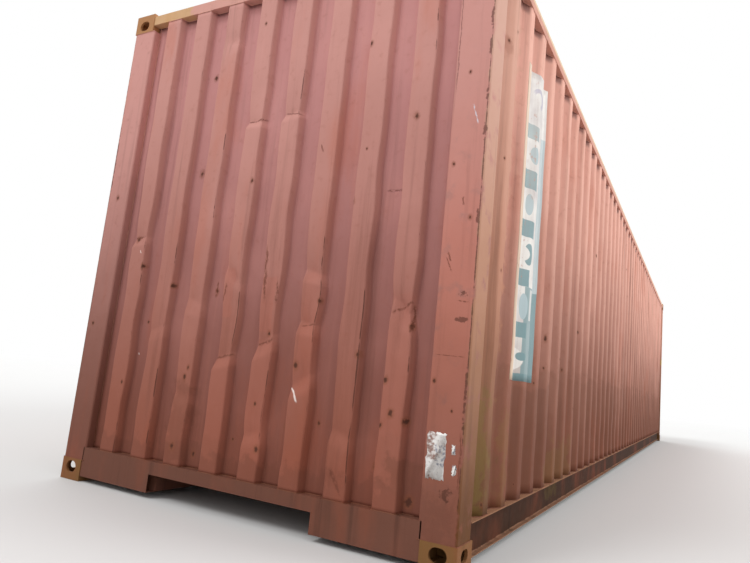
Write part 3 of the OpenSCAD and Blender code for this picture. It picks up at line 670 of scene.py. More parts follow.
SIDE_PATCHES = [
    # Road dirt up to under a metre, and the yellowed ribs next to the corner post
    ((None, None, None), (None, None, 0.89), shade(108, 68, 47), 0.24, 0.09),
    ((None, None, None), (-5.60, 0, None), EDGE_RIB, 0.78, 0.08),
    # Moss and dark damp in the hollows of the right side
    ((-5.875, None, None), (-5.77, 0, 0.74), MOSS, 0.38, 0.08),
    ((-5.53, None, None), (-5.45, 0, 0.64), MOSS, 0.18, 0.06),
    ((-5.94, None, None), (-5.872, 0, 0.72), shade(84, 54, 42), 0.5, 0.03),
    ((-5.30, None, None), (-4.50, 0, 0.78), shade(94, 55, 38), 0.28, 0.04),
    ((-4.86, None, 0.33), (-4.76, 0, 0.53), shade(104, 106, 74), 0.4, 0.03),
    ((-5.87, None, 2.36), (-5.80, 0, 2.47), shade(160, 100, 80), 0.4, 0.04),
    ((-4.60, None, None), (-3.80, 0, 0.42), MOSS, 0.18, 0.10),
]
# The sunk colours paint the hollows darker than the crests, as painted shade
side_paint = weathered_paint(
    "faded paint of the side walls", shade(233, 176, 158), shade(122, 68, 48),
    sunk=(shade(213, 154, 138), shade(110, 62, 42), behind_crests(0.03, 0.40), 2.745),
    spots=SIDE_SPOTS, rust=0.40, dirt=0.40, patches=SIDE_PATCHES, axis=0)
side_cell = rib_cell(SIDE_PITCH, SIDE_CREST, SIDE_SLOPE, SIDE_DEPTH, SIDE_BEND, 1)
side_levels = np.linspace(side_low.z, side_high.z, SIDE_LEVELS)
side_length = side_high.x - side_low.x
# The frame holds the wall's rim, this far in from its top and foot and from its two ends
SIDE_RIM_TALL = 0.15
SIDE_RIM_LONG = 0.25
SIDE_DENT = 0.006


def stood_up(points, outward):
    """Sets a folded sheet up as a side wall, with soft dents all over it."""
    x = side_low.x + points[:, 0]
    z = points[:, 2]
    rim = np.clip(np.minimum(z - side_low.z, side_high.z - z) / SIDE_RIM_TALL, 0, 1)
    rim *= np.clip(np.minimum(x - side_low.x, side_high.x - x) / SIDE_RIM_LONG, 0, 1)
    dent = np.abs(sway(x * 0.8, z * 1.3, 21 + outward, SIDE_DENT))
    y = -side_low.y - points[:, 1] - dent * rim
    return np.stack([x, outward * y, z], axis=1)


def side_sheet(name, node, outward):
    """A side wall in place of the CAD one, on the side that outward gives as -1 or 1."""
    mesh = folded_sheet(SIDE_RIBS, SIDE_PITCH, side_cell, SIDE_FIRST, side_length, side_levels,
                        side_paint)
    moved_points(mesh, lambda points: stood_up(points, outward))
    if outward > 0:
        mesh.flip_normals()
    piece = add_piece(name, mesh)
    sheet_thickness(piece, SIDE_SHEET)
    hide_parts(node)


side_sheet("right_wall_sheet", "side_wall_right", -1)
side_sheet("left_wall_sheet", "side_wall_left", 1)

# The printed film
# Thin plastic film stuck on the right wall in strips, and pressed down over the ribs. It is
# plain blocks of white and grey-blue, bleached by the sun and worn along its edges.
FILM_LEFT = -5.485
FILM_RIGHT = -4.978
FILM_FOOT = 0.80
FILM_RIBS = 5
FILM_ROWS = 40
# How far the film lies above the paint
FILM_ABOVE = 0.0006
FILM_THICK = 0.0003
# The tops of the strips, as (x, z)
FILM_TOPS = [(-5.485, 2.500), (-5.330, 2.510), (-5.325, 2.545), (-5.160, 2.550),
             (-5.155, 2.570), (-4.900, 2.572)]
FILM_TEAL = shade(119, 149, 153)
FILM_PALE = shade(172, 190, 194)
FILM_WHITE = shade(230, 225, 219)
# Low corner (x, z), high corner (x, z), colour and strength
FILM_BLOCKS = [
    ((-5.150, 0.800), (-4.970, 2.250), FILM_PALE, 0.75),
    ((-5.250, 0.800), (-4.970, 1.310), FILM_TEAL, 0.85),
    ((-5.437, 2.150), (-5.200, 2.235), FILM_TEAL, 0.7),
    ((-5.437, 1.860), (-5.190, 1.968), FILM_TEAL, 0.9),
    ((-5.437, 1.585), (-5.190, 1.680), FILM_TEAL, 1.0),
    ((-5.437, 1.310), (-5.225, 1.404), FILM_TEAL, 1.0),
    ((-5.437, 1.030), (-5.225, 1.112), FILM_TEAL, 1.0),
    ((-5.437, 0.790), (-4.970, 0.840), FILM_TEAL, 1.0),
    ((-5.200, 1.130), (-5.165, 1.300), FILM_WHITE, 0.7),
]
# Middle x and z, half width, half height and colour
FILM_DISCS = [
    (-5.330, 0.915, 0.095, 0.060, FILM_WHITE), (-5.250, 0.930, 0.040, 0.022, FILM_TEAL),
    (-5.255, 1.200, 0.030, 0.070, FILM_PALE), (-5.235, 1.490, 0.035, 0.060, FILM_TEAL),
    (-5.300, 1.490, 0.070, 0.045, FILM_WHITE), (-5.255, 1.770, 0.030, 0.060, FILM_PALE),
    (-5.230, 2.060, 0.040, 0.050, FILM_PALE), (-5.060, 1.640, 0.030, 0.110, FILM_WHITE),
    (-5.060, 2.050, 0.030, 0.090, FILM_WHITE),
]
film_finish, tree, shader, place = start_finish("sun-bleached printed film")
axes = put(tree, "ShaderNodeSeparateXYZ", {0: place}).outputs
blur = spread(tree, place, 5.0, detail=6.0)
flaws = spread(tree, place, 32.0, detail=6.0)
runs = spread(tree, place, 1.0, stretch=(14, 14, 0.6), detail=5.0)
colour = painted_over(tree, between(tree, blur, 0.35, 0.7), shade(232, 228, 222),
                      shade(206, 198, 196))
colour = painted_over(tree, between(tree, axes[2], 1.1, 0.6), colour, shade(176, 162, 150))
for low, high, over, strength in FILM_BLOCKS:
    inside = strength
    for k, a, b in ((0, low[0], high[0]), (2, low[1], high[1])):
        shift = calc(tree, "ADD", axes[k], calc(tree, "MULTIPLY", flaws, 0.008))
        inside = calc(tree, "MULTIPLY", inside, between(tree, shift, a + 0.002, a + 0.006))
        inside = calc(tree, "MULTIPLY", inside, between(tree, shift, b + 0.006, b + 0.002))
    colour = painted_over(tree, inside, colour, over)
for x, z, wide, tall, over in FILM_DISCS:
    far = off_centre(tree, place, (x, 0, z), (1 / wide, 0, 1 / tall))
    colour = painted_over(tree, between(tree, far, 1.06, 0.96), colour, over)
# A pale violet curl in the white part, and a cream strip along the front edge
arc = put(tree, "ShaderNodeVectorMath", {0: place, 1: (-5.22, -1.2, 2.40)}, operation="DISTANCE")
sweep = calc(tree, "ABSOLUTE", calc(tree, "SUBTRACT", arc.outputs["Value"], 0.052))
sweep = calc(tree, "MULTIPLY", between(tree, sweep, 0.016, 0.008),
             between(tree, calc(tree, "ADD", axes[0], axes[2]), -2.86, -2.80))
colour = washed(tree, colour, shade(158, 150, 180), sweep, 0.7)
colour = washed(tree, colour, shade(228, 196, 166), between(tree, axes[0], -5.424, -5.430), 0.8)
# Bare paint where the film has worn through, and runs of dirt
gone = calc(tree, "ADD", calc(tree, "MULTIPLY", flaws, 0.6), calc(tree, "MULTIPLY", runs, 0.6))
colour = washed(tree, colour, shade(186, 134, 112), between(tree, gone, 0.72, 0.78), 0.6)
colour = washed(tree, colour, shade(136, 108, 92), between(tree, runs, 0.5, 0.75), 0.35)
finish_surface(tree, shader, colour, calc(tree, "ADD", calc(tree, "MULTIPLY", blur, 0.3), 0.22),
               flaws, 0.0002)

# The film follows the ribs from its left edge to its right, a little above the wall
stations = np.concatenate([[0.0]] + [SIDE_FIRST + k * SIDE_PITCH + side_cell[:-1, 0]
                                     for k in range(FILM_RIBS)])
hollows = np.concatenate([[SIDE_DEPTH]] + [side_cell[:-1, 1]] * FILM_RIBS)
across = [s for s in stations if FILM_LEFT < side_low.x + s < FILM_RIGHT]
across = np.array([FILM_LEFT - side_low.x] + across + [FILM_RIGHT - side_low.x])
behind = np.interp(across, stations, hollows)
tops = np.interp(side_low.x + across, *zip(*FILM_TOPS))
line = list(zip(across, behind - FILM_ABOVE, np.zeros(len(across))))
verts, faces, _ = sheet_grid(line, np.linspace(0, 1, FILM_ROWS))
verts = [(x, y, FILM_FOOT + (tops[i % len(across)] - FILM_FOOT) * rise)
         for i, (x, y, rise) in enumerate(verts)]
film_mesh = new_mesh("printed_film", verts, faces)
film_mesh.materials.append(film_finish)
moved_points(film_mesh, lambda points: stood_up(points, -1))
film = add_piece("printed_film", film_mesh)
sheet_thickness(film, FILM_THICK)

# The corner posts and castings
# Posts bent from thick sheet stand between steel castings. Their outer edges are worn to a
# yellow-brown band, scraped where other containers have struck them.


def dressed(material, *names):
    """Gives CAD nodes a finish. Their shapes are right as they are."""
    for name in names:
        data = nodes[name].data
        data.materials.clear()
        data.materials.append(material)


POST_SIDE = (shade(208, 163, 145), shade(182, 132, 104), shade(94, 56, 20))
POST_WARM = (shade(206, 147, 138), shade(194, 118, 100), shade(127, 78, 61))
# The worn bands lie further out than this from the middle of the container
BAND_EDGE = 1.2075
# (y, z, radius)
POST_SPOTS = [
    (-1.116, 2.144, 0.007), (-1.070, 1.710, 0.008), (-1.165, 1.464, 0.008),
    (-1.062, 0.758, 0.008), (-1.150, 0.640, 0.006), (1.126, 1.676, 0.012), (1.160, 0.900, 0.010),
]
# (y, z, half width, half height)
POST_SCRAPES = [
    (-1.203, 2.400, 0.007, 0.055), (-1.203, 2.250, 0.006, 0.050), (-1.203, 2.035, 0.007, 0.040),
    (-1.203, 1.855, 0.009, 0.038), (-1.200, 1.470, 0.009, 0.032), (-1.161, 1.130, 0.026, 0.016),
    (-1.166, 1.019, 0.030, 0.010), (-1.202, 0.700, 0.005, 0.120), (-1.150, 0.310, 0.030, 0.030),
    (1.203, 1.900, 0.006, 0.200), (-1.2065, 1.700, 0.0027, 1.500), (1.2065, 1.500, 0.0027, 1.500),
]
# (y, z, y, z, half width, colour)
POST_LINES = [
    (-1.143, 1.985, -1.170, 1.890, 0.005, shade(214, 214, 224)),
    (-1.071, 1.289, -1.103, 1.226, 0.004, DARK_LINE),
    (-1.050, 0.867, -1.190, 0.864, 0.003, DARK_LINE),
    (-1.134, 1.100, -1.188, 1.095, 0.004, DARK_LINE),
    (-1.075, 1.310, -1.095, 1.270, 0.006, DARK_LINE),
    (-1.052, 2.600, -1.054, 2.050, 0.004, shade(132, 84, 80)),
    (-1.128, 1.560, -1.136, 1.520, 0.006, DARK_LINE),
    (-1.196, 0.560, -1.200, 0.330, 0.006, DARK_LINE),
]
POST_PATCHES = [
    # The worn bands on both sides, the redder right face, and dirt at its foot
    ((None, None, None), (None, -BAND_EDGE, None), POST_SIDE, 0.94, 0.012),
    ((None, BAND_EDGE, None), (None, None, None), POST_SIDE, 0.94, 0.012),
    ((None, -1.205, None), (-6.085, -1.02, None), POST_WARM, 0.75, 0.01),
    ((None, -1.205, None), (-6.085, -1.02, 0.34), shade(100, 60, 48), 0.35, 0.05),
]
post_paint = weathered_paint(
    "worn paint of the front posts", shade(208, 150, 142), shade(120, 74, 60),
    spots=POST_SPOTS, scrapes=POST_SCRAPES, lines=POST_LINES, rust=0.35, dirt=0.35,
    patches=POST_PATCHES)
dressed(post_paint, "front_post_right", "front_post_left")

casting_paint = weathered_paint(
    "worn castings", shade(176, 126, 84), shade(122, 86, 48), rust=0.7, dirt=0.45)
dressed(casting_paint, *[n for n in nodes if n.startswith("corner_casting")])

# The label
# A paper and plastic label near the foot of the right front post, with its print gone and
# half torn off, and two scraps of older ones beside it.
LABEL_THICK = 0.0003
LABEL_TEAR = 0.004
EDGE_PARTS = 12
# Low y and z, high y and z of each scrap
LABELS = [(-1.136, 0.362, -1.054, 0.548), (-1.178, 0.468, -1.164, 0.506),
          (-1.187, 0.388, -1.171, 0.428)]
label_finish, tree, shader, place = start_finish("worn label")
axes = put(tree, "ShaderNodeSeparateXYZ", {0: place}).outputs
blur = spread(tree, place, 18.0, detail=7.0, rough=0.65)
specks = spread(tree, place, 90.0, detail=4.0)
ragged = calc(tree, "MULTIPLY", calc(tree, "SUBTRACT", blur, 0.5), 0.12)
colour = painted_over(tree, between(tree, blur, 0.45, 0.66), shade(240, 237, 234),
                      shade(200, 190, 184))
colour = washed(tree, colour, shade(128, 84, 66), between(tree, blur, 0.60, 0.68), 0.8)
colour = washed(tree, colour, shade(110, 96, 92), between(tree, specks, 0.55, 0.7), 0.35)
# A brown stain at the upper left, and grey-blue smudges at the right
stain = calc(tree, "MULTIPLY",
             between(tree, calc(tree, "ADD", axes[1], ragged), -1.092, -1.080),
             between(tree, calc(tree, "ADD", axes[2], ragged), 0.430, 0.450))
stain = calc(tree, "MULTIPLY", stain, between(tree, specks, 0.34, 0.60))
colour = washed(tree, colour, shade(136, 88, 72), stain, 0.8)
ink = calc(tree, "MULTIPLY",
           between(tree, calc(tree, "ADD", axes[1], ragged), -1.086, -1.092),
           between(tree, calc(tree, "ABSOLUTE", calc(tree, "SUBTRACT", axes[2], 0.455)),
                   0.050, 0.040))
ink = calc(tree, "MULTIPLY", ink, between(tree, specks, 0.46, 0.60))
colour = washed(tree, colour, shade(112, 118, 142), ink, 0.6)
finish_surface(tree, shader, colour, calc(tree, "ADD", calc(tree, "MULTIPLY", blur, 0.3), 0.35),
               blur, 0.0003)

label_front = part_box("front_post_right")[0].x - LABEL_THICK - 0.0001
rng = np.random.default_rng(12)
verts, faces = [], []
for y0, z0, y1, z1 in LABELS:
    outline = []
    corners = [(y0, z0), (y1, z0), (y1, z1), (y0, z1)]
    for (ya, za), (yb, zb) in zip(corners, corners[1:] + corners[:1]):
        for t in np.linspace(0, 1, EDGE_PARTS, endpoint=False):
            tear = rng.uniform(-1, 1) * min(LABEL_TEAR, 0.2 * (y1 - y0))
            outline.append((label_front, ya + (yb - ya) * t + tear, za + (zb - za) * t + tear))
    faces.append(tuple(range(len(verts), len(verts) + len(outline)))[::-1])
    verts += outline
label_mesh = new_mesh("worn_label", verts, faces)
label_mesh.materials.append(label_finish)
label = add_piece("worn_label", label_mesh)
sheet_thickness(label, LABEL_THICK)

# The header, the top rails and the end plates
# Square tubes close the frame above the walls. The front header was painted yellow at its
# left end, and the rest of it has faded with the walls.
YELLOW = shade(204, 176, 98)
CREAM = shade(234, 212, 174)
header_paint = weathered_paint(
    "paint of the front header", shade(214, 158, 146), shade(150, 96, 84), rust=0.45, dirt=0.3,
    patches=[((None, 0.72, None), (None, None, None), YELLOW, 0.5, 0.08)])
dressed(header_paint, "front_header")
frame_paint = weathered_paint(
    "paint of the top frame", shade(216, 160, 142), shade(150, 96, 80), rust=0.45, dirt=0.3,
    patches=[((None, None, 2.850), (None, -1.205, None), CREAM, 0.8, 0.002),
             ((None, 1.205, 2.850), (None, None, None), CREAM, 0.8, 0.002)])
dressed(frame_paint, "top_rail_right", "top_rail_left", "roof_end_plates", "rear_header")

# The base
# Bent channels run along both sides under the walls, with their flanges outwards, and
# carry the cross members. Salt, mud and diesel soot have browned all of it.
RAIL_PATCHES = [
    # A painted highlight along the upper flange, the painted shade under it, a painted highlight
    # along the lower flange, and moss
    ((None, None, 0.184), (None, None, None), shade(166, 122, 94), 0.8, 0.002),
    ((None, None, 0.166), (None, None, 0.184), shade(72, 46, 36), 0.7, 0.004),
    ((None, None, None), (None, None, 0.037), shade(160, 118, 92), 0.7, 0.003),
    ((-4.40, None, 0.08), (-4.05, 0, 0.18), MOSS, 0.16, 0.06),
]
rail_paint = weathered_paint(
    "paint of the bottom rails", shade(91, 57, 40), shade(62, 39, 27), rust=0.5, dirt=0.5,
    patches=RAIL_PATCHES)
rail_paint.node_tree.nodes["Principled BSDF"].inputs["Specular IOR Level"].default_value = 0.08
dressed(rail_paint, "bottom_rail_right", "bottom_rail_left")
base_paint = weathered_paint(
    "dirty paint under the floor", shade(128, 84, 68), shade(108, 68, 54), rust=0.8, dirt=0.7)
dressed(base_paint, "front_sill", "rear_sill", "cross_members", "tunnel_outriggers_right",
        "tunnel_outriggers_left", "tunnel_roof", "tunnel_sides")

# The floor
# Thick plywood, laid in two rows of sheets on the cross members. Its veneer is scuffed
# and stained by cargo and by fork trucks.
floor_finish, tree, shader, place = start_finish("worn plywood")
grain = spread(tree, place, 3.0, stretch=(0.6, 9, 9), detail=7.0, rough=0.65)
stain = spread(tree, place, 1.1, detail=5.0)
scuff = spread(tree, place, 2.0, stretch=(0.4, 14, 1), detail=3.0)
wood = painted_over(tree, between(tree, grain, 0.35, 0.7), shade(158, 122, 82), shade(120, 86, 54))
wood = washed(tree, wood, shade(82, 64, 48), between(tree, stain, 0.45, 0.75), 0.6)
wood = washed(tree, wood, shade(176, 150, 116), between(tree, scuff, 0.6, 0.75), 0.35)
finish_surface(tree, shader, wood, calc(tree, "ADD", calc(tree, "MULTIPLY", stain, 0.2), 0.5),
               grain, 0.0012)
dressed(floor_finish, "plywood_floor")

# The roof
# One pressed sheet with low ribs across it. Rain water stands between the ribs, so it has
# more rust there, and dust lies over all of it.


def between_ribs(tree, axes):
    """How a place lies below the roof's ribs: 0 on them and 1 between them."""
    return between(tree, axes[2], 2.886, 2.870)


# No painted shade falls under a rail on the roof, so its height is given above the container
roof_paint = weathered_paint(
    "paint of the roof", shade(190, 136, 122), shade(150, 98, 84),
    sunk=(shade(150, 104, 92), shade(140, 90, 76), between_ribs, 3.5), rust=0.9, dirt=0.5)
dressed(roof_paint, "roof")

# The door end
# Two leaves of square tube and folded sheet hang on lugs of the rear posts. They are
# painted as the walls are, and were repainted more often than they are.
leaf_low, leaf_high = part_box("door_frame_right")
bars_low, bars_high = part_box("locking_bars_right")
# How far a locking bar and its cams reach to each side of its middle line
BAR_REACH = 0.034
BAR_LINES = [s * (y + BAR_REACH) for s in (-1, 1)
             for y in (bars_low.y, bars_high.y - 2 * BAR_REACH)]
leaf_rise = leaf_high.z - leaf_low.z
# The lower edges of the bars' brackets
BRACKETS = [leaf_low.z + 0.05, leaf_low.z + 0.26 * leaf_rise, leaf_low.z + 0.68 * leaf_rise,
            leaf_high.z - 0.11]
BRACKET_RUST = shade(104, 56, 40)
RUN_HALF = 0.030
RUN_LONG = 0.26
# Rust has run down from under the upper three brackets of each bar
DOOR_PATCHES = [
    ((None, y - RUN_HALF, z - RUN_LONG), (None, y + RUN_HALF, z + 0.01), BRACKET_RUST, 0.55, 0.035)
    for y in BAR_LINES for z in BRACKETS[1:]
]
door_paint = weathered_paint(
    "paint of the doors", shade(200, 134, 116), shade(138, 80, 62), rust=0.75, dirt=0.5,
    patches=DOOR_PATCHES)
dressed(door_paint, "door_frame_right", "door_frame_left", "door_panel_right",
        "door_panel_left", "bar_brackets", "door_hinges")
rear_post_paint = weathered_paint(
    "paint of the rear posts", shade(218, 166, 144), shade(146, 100, 74), rust=0.55, dirt=0.4,
    patches=[((None, None, 1.58), (None, -1.20, 1.70), YELLOW, 1.0, 0.01)])
dressed(rear_post_paint, "rear_post_right", "rear_post_left")

gasket_finish, tree, shader, place = start_finish("weathered rubber")
dust = spread(tree, place, 9.0, detail=6.0)
rubber = painted_over(tree, between(tree, dust, 0.4, 0.75), shade(38, 37, 38), shade(92, 84, 78))
finish_surface(tree, shader, rubber, calc(tree, "ADD", calc(tree, "MULTIPLY", dust, 0.3), 0.55),
               dust, 0.0006)
dressed(gasket_finish, "door_gaskets")


def worn_zinc(name, clean, dull, rust):
    """Galvanised steel with grey blooms, and red rust where the zinc is gone."""
    material, tree, shader, place = start_finish(name)
    shader.inputs["Metallic"].default_value = 0.55
    bloom = spread(tree, place, 12.0, detail=6.0)
    run = spread(tree, place, 2.0, stretch=(12, 12, 0.8), detail=5.0)
    fine = spread(tree, place, 70.0, detail=3.0)
    colour = painted_over(tree, between(tree, bloom, 0.35, 0.7), clean, dull)
    worn = calc(tree, "MULTIPLY", between(tree, run, 0.66 - 0.2 * rust, 0.78), 0.85)
    colour = painted_over(tree, worn, colour, RUST_WARM)
    rough = calc(tree, "ADD", calc(tree, "MULTIPLY", bloom, 0.35), 0.34)
    finish_surface(tree, shader, colour, rough, calc(tree, "ADD", fine, worn), 0.0005)
    return material


lock_finish = worn_zinc("galvanised door gear", shade(172, 170, 166), shade(132, 128, 124), 0.8)
dressed(lock_finish, "locking_bars_right", "locking_bars_left", "cam_keepers",
        "door_handles", "handle_catches", "hinge_pins")

# The fasteners
# Hexagon bolts hold the brackets of the locking bars, two in each, and countersunk screws
# hold the plywood to every cross member and bow under it.


def fastener_setter():
    """Geometry Nodes: sets the fastener on every loose point, turned as the point says."""
    tree, given, result = new_tree(
        "fasteners", [("Points and head", "Geometry"), ("Finish", "Material")], "Fasteners")
    is_place = put(tree, "GeometryNodeInputNamedAttribute", {"Name": "is_place"},
                   data_type="BOOLEAN").outputs[0]
    turn = put(tree, "GeometryNodeInputNamedAttribute", {"Name": "turn"},
               data_type="FLOAT_VECTOR").outputs[0]
    parts = put(tree, "GeometryNodeSeparateGeometry",
                {"Geometry": given[0], "Selection": is_place}, domain="POINT").outputs
    placed = put(tree, "GeometryNodeInstanceOnPoints",
                 {"Points": parts[0], "Instance": parts[1], "Rotation": turn})
    return end_tree(tree, placed.outputs[0], given["Finish"], result)


FASTENERS = fastener_setter()


def turned_head(sides, rings):
    """A closed head about +Z from rings of (radius, height), flat at both ends."""
    verts = [(r * math.cos(2 * math.pi * k / sides), r * math.sin(2 * math.pi * k / sides), h)
             for r, h in rings for k in range(sides)]
    faces = [(j * sides + k, j * sides + (k + 1) % sides, (j + 1) * sides + (k + 1) % sides,
              (j + 1) * sides + k) for j in range(len(rings) - 1) for k in range(sides)]
    last = (len(rings) - 1) * sides
    faces += [tuple(range(sides))[::-1], tuple(range(last, last + sides))]
    return verts, faces


def set_fasteners(name, head, places, finish):
    """One head at each of the places (x, y, z, turn about X, turn about Y, turn about Z)."""
    verts, faces = head
    mesh = new_mesh(name, verts + [p[:3] for p in places], faces)
    flags = [False] * len(verts) + [True] * len(places)
    turns = [0.0] * (3 * len(verts)) + [v for p in places for v in p[3:]]
    mesh.attributes.new("is_place", "BOOLEAN", "POINT").data.foreach_set("value", flags)
    mesh.attributes.new("turn", "FLOAT_VECTOR", "POINT").data.foreach_set("vector", turns)
    add_piece(name, with_tree(mesh, FASTENERS, {"Finish": finish}), smooth=30)


bolt_finish = worn_zinc("rusty bolts", shade(150, 142, 134), shade(112, 96, 84), 0.9)
rng = np.random.default_rng(31)
# Rings of (radius, height)
BOLT = turned_head(6, [(0.0095, 0.0), (0.0095, 0.005), (0.0080, 0.0062)])
SCREW = turned_head(10, [(0.0060, 0.0), (0.0060, 0.0003), (0.0025, 0.0006)])
BRACKET_THICK = 0.004
BRACKET_MIDDLE = 0.030
BOLT_SPREAD = 0.034
bracket_face = leaf_high.x + BRACKET_THICK
set_fasteners("bracket_bolts", BOLT,
              [(bracket_face, y + side, z + BRACKET_MIDDLE, 0.0, math.pi / 2,
                float(rng.uniform(0, 1)))
               for y in BAR_LINES for z in BRACKETS for side in (-BOLT_SPREAD, BOLT_SPREAD)],
              bolt_finish)

floor_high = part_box("plywood_floor")[1]
members_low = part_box("cross_members")[0]
# The members stand behind the tunnel, and the bows lie across it
MEMBERS = 30
MEMBER_STEP = 8.832 / (MEMBERS - 1)
MEMBER_MIDDLE = 0.0225
BOWS = 10
BOW_STEP = 0.304
FIRST_BOW = -5.768
SCREW_ROWS = (0.04, 0.31, 0.58, 0.85, 1.12)
screw_lines = [members_low.x + MEMBER_MIDDLE + k * MEMBER_STEP for k in range(MEMBERS)]
screw_lines += [FIRST_BOW + BOW_STEP * k for k in range(BOWS)]
set_fasteners("floor_screws", SCREW,
              [(x, s * y, floor_high.z, 0.0, 0.0, float(rng.uniform(0, 3)))
               for x in screw_lines if x < floor_high.x - 0.02
               for s in (-1, 1) for y in SCREW_ROWS],
              bolt_finish)

# The weld beads
# Painted fillets run along the walls' feet and tops, round the posts where they stand on
# the castings, up both edges of the front wall, along the roof and round the hinge blades.
BEAD = 0.0024
BEAD_RIPPLE = 0.0014
# How far the middle of a bead lies off the seam, and off a corner of the container
BEAD_OUT = 0.001
CORNER_OUT = 0.0004
HINGES = 4
HINGE_TALL = 0.060
HINGE_INSET = 0.2
BLADE_LONG = 0.0905


def bead_sweeper():
    """Geometry Nodes: sweeps a small uneven bead along every line of edges."""
    tree, given, result = new_tree(
        "weld beads", [("Lines", "Geometry"), ("Radius", "Float"), ("Ripple", "Float"),
                       ("Finish", "Material")], "Beads")
    curve = put(tree, "GeometryNodeMeshToCurve", {0: given[0]})
    here = put(tree, "GeometryNodeInputPosition").outputs[0]
    ripple = put(tree, "ShaderNodeTexNoise", {"Vector": here, "Scale": 90.0, "Detail": 2.0})
    shift = put(tree, "ShaderNodeVectorMath", {0: ripple.outputs["Color"], 1: (0.5, 0.5, 0.5)},
                operation="SUBTRACT")
    shift = put(tree, "ShaderNodeVectorMath", {0: shift.outputs[0], "Scale": given["Ripple"]},
                operation="SCALE")
    moved = put(tree, "GeometryNodeSetPosition",
                {"Geometry": curve.outputs[0], "Offset": shift.outputs[0]})
    ring = put(tree, "GeometryNodeCurvePrimitiveCircle",
               {"Resolution": 6, "Radius": given["Radius"]})
    swept = put(tree, "GeometryNodeCurveToMesh",
                {"Curve": moved.outputs[0], "Profile Curve": ring.outputs[0],
                 "Fill Caps": True})
    return end_tree(tree, swept.outputs[0], given["Finish"], result)


bead_lines = []


def add_bead(corners, step=0.02):
    """Lays a bead straight from corner to corner, with points at most a step apart."""
    line = [corners[0]]
    for a, b in zip(corners, corners[1:]):
        parts = max(1, math.ceil(math.dist(a, b) / step))
        line += [tuple(p) for p in np.linspace(a, b, parts + 1)[1:]]
    bead_lines.append(line)


post_low, post_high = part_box("front_post_right")
rear_low, rear_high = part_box("rear_post_right")
roof_low, roof_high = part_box("roof")
front_end = wall_low.x - BEAD_OUT
leaf_back = leaf_high.x + BEAD_OUT
# Along the foot and the top of the front wall
for z in (wall_low.z + BEAD_OUT, wall_high.z - BEAD_OUT):
    add_bead([(front_end + p[1], wall_low.y + front_first + k * FRONT_PITCH + p[0], z)
              for k in range(FRONT_RIBS) for p in cell])
for s in (-1, 1):
    # Along the foot and the top of a side wall
    for z in (side_low.z + BEAD_OUT, side_high.z - BEAD_OUT):
        add_bead([(side_low.x + SIDE_FIRST + k * SIDE_PITCH + p[0],
                   s * (-side_low.y - p[1] + BEAD_OUT), z)
                  for k in range(SIDE_RIBS) for p in side_cell[::3]])
    # Round the posts where they stand on the castings
    edge = s * (-post_low.y + CORNER_OUT)
    for z in (post_low.z, post_high.z):
        add_bead([(post_low.x - CORNER_OUT, s * -post_high.y, z),
                  (post_low.x - CORNER_OUT, edge, z), (post_high.x, edge, z)])
        add_bead([(rear_high.x + CORNER_OUT, s * -rear_high.y, z),
                  (rear_high.x + CORNER_OUT, edge, z), (rear_low.x, edge, z)])
    # Up the front wall's edge, and along the roof
    inner = s * (-post_high.y - BEAD_OUT)
    add_bead([(front_end + FRONT_DEPTH, inner, wall_low.z),
              (front_end + FRONT_DEPTH, inner, wall_high.z)])
    add_bead([(roof_low.x, s * roof_high.y, roof_low.z + BEAD_OUT),
              (roof_high.x, s * roof_high.y, roof_low.z + BEAD_OUT)], 0.03)
    # Round the hinge blades
    hinge_out = s * -leaf_low.y
    hinge_in = s * (-leaf_low.y - BLADE_LONG)
    for k in range(HINGES):
        middle = leaf_low.z + HINGE_INSET + k * (leaf_rise - 2 * HINGE_INSET) / (HINGES - 1)
        low, high = middle - HINGE_TALL / 2, middle + HINGE_TALL / 2
        add_bead([(leaf_back, hinge_out, low), (leaf_back, hinge_in, low),
                  (leaf_back, hinge_in, high), (leaf_back, hinge_out, high)], 0.01)
verts, edges = [], []
for line in bead_lines:
    edges += [(len(verts) + k, len(verts) + k + 1) for k in range(len(line) - 1)]
    verts += line
bead_paint = weathered_paint(
    "paint over the weld beads", shade(214, 156, 140), shade(116, 72, 52), rust=0.9, dirt=0.4)
beads = with_tree(new_mesh("bead lines", verts, [], edges), bead_sweeper(),
                  {"Radius": BEAD, "Ripple": BEAD_RIPPLE, "Finish": bead_paint})
add_piece("weld_beads", beads, smooth=60)

# The stage
# A plain pale floor that fades out to a white background, under the even light of a
# bright grey sky with the sun behind it on the right.
STAGE_HALF = 90.0
STAGE_DROP = 0.001
# The floor turns white between these distances from the middle of the container
WHITE_FROM = 11.0
WHITE_AT = 34.0


def seen_rays(tree):
    """1 for what the camera sees, straight, mirrored or through glass, and 0 for light."""
    rays = put(tree, "ShaderNodeLightPath").outputs
    return calc(tree, "MAXIMUM", rays["Is Camera Ray"],
                calc(tree, "MAXIMUM", rays["Is Glossy Ray"], rays["Is Transmission Ray"]))


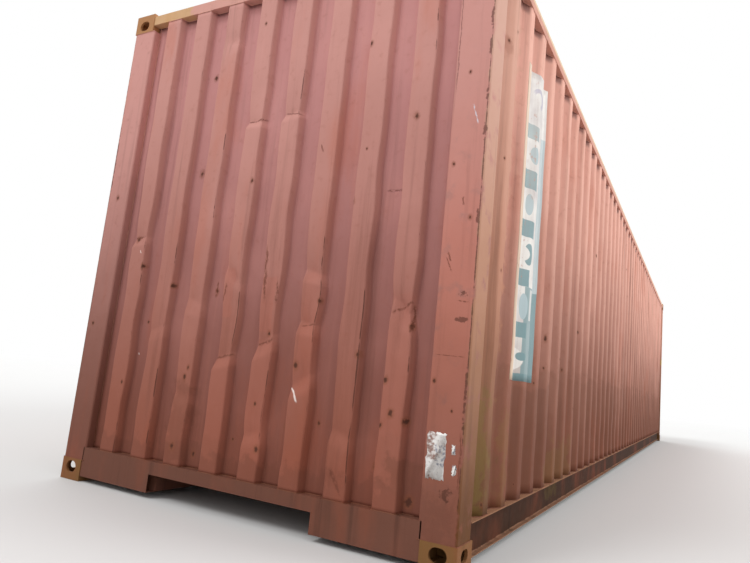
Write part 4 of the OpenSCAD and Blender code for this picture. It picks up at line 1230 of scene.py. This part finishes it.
floor_mesh = new_mesh("stage floor", [(-STAGE_HALF, -STAGE_HALF, 0), (STAGE_HALF, -STAGE_HALF, 0),
                                      (STAGE_HALF, STAGE_HALF, 0), (-STAGE_HALF, STAGE_HALF, 0)],
                      [(0, 1, 2, 3)])
stage_floor = bpy.data.objects.new("stage_floor", floor_mesh)
scene.collection.objects.link(stage_floor)
stage_floor.location.z = -STAGE_DROP
pale, tree, shader, place = start_finish("pale floor")
shader.inputs["Roughness"].default_value = 0.85
away = put(tree, "ShaderNodeVectorMath", {0: place}, operation="LENGTH").outputs["Value"]
looking = seen_rays(tree)
ground = painted_over(tree, looking, (0.40, 0.39, 0.38, 1.0), (0.66, 0.66, 0.655, 1.0))
tree.links.new(ground, shader.inputs["Base Color"])
fade = calc(tree, "MULTIPLY", between(tree, away, WHITE_FROM, WHITE_AT), looking)
white = put(tree, "ShaderNodeEmission", {"Color": (1.0, 1.0, 1.0, 1.0), "Strength": 1.0})
mixed = put(tree, "ShaderNodeMixShader", {0: fade, 1: shader.outputs[0], 2: white.outputs[0]})
out = next(n for n in tree.nodes if n.type == "OUTPUT_MATERIAL")
tree.links.new(mixed.outputs[0], out.inputs[0])
floor_mesh.materials.append(pale)

world = bpy.data.worlds.new("bright sky")
scene.world = world
world.use_nodes = True
sky = world.node_tree
sky.nodes.clear()
# White to look at, and a little weaker as light on the part
strength = calc(sky, "ADD", calc(sky, "MULTIPLY", seen_rays(sky), 0.05), 0.95)
light = put(sky, "ShaderNodeBackground", {"Color": (1.0, 1.0, 1.0, 1.0), "Strength": strength})
sky_out = put(sky, "ShaderNodeOutputWorld")
sky.links.new(light.outputs[0], sky_out.inputs[0])

# Name, the way to the light, its strength and its angle in degrees
SUNS = [("side_light", (0.42, -0.82, 0.42), 1.30, 30),
        ("front_light", (-0.60, 0.30, 0.74), 1.05, 20),
        ("back_light", (0.6, 0.7, 0.35), 0.60, 60)]
for name, way, power, angle in SUNS:
    lamp = bpy.data.lights.new(name, "SUN")
    lamp.energy = power
    lamp.angle = math.radians(angle)
    sun = bpy.data.objects.new(name, lamp)
    sun.rotation_mode = "QUATERNION"
    sun.rotation_quaternion = (-Vector(way)).to_track_quat("-Z", "Y")
    scene.collection.objects.link(sun)
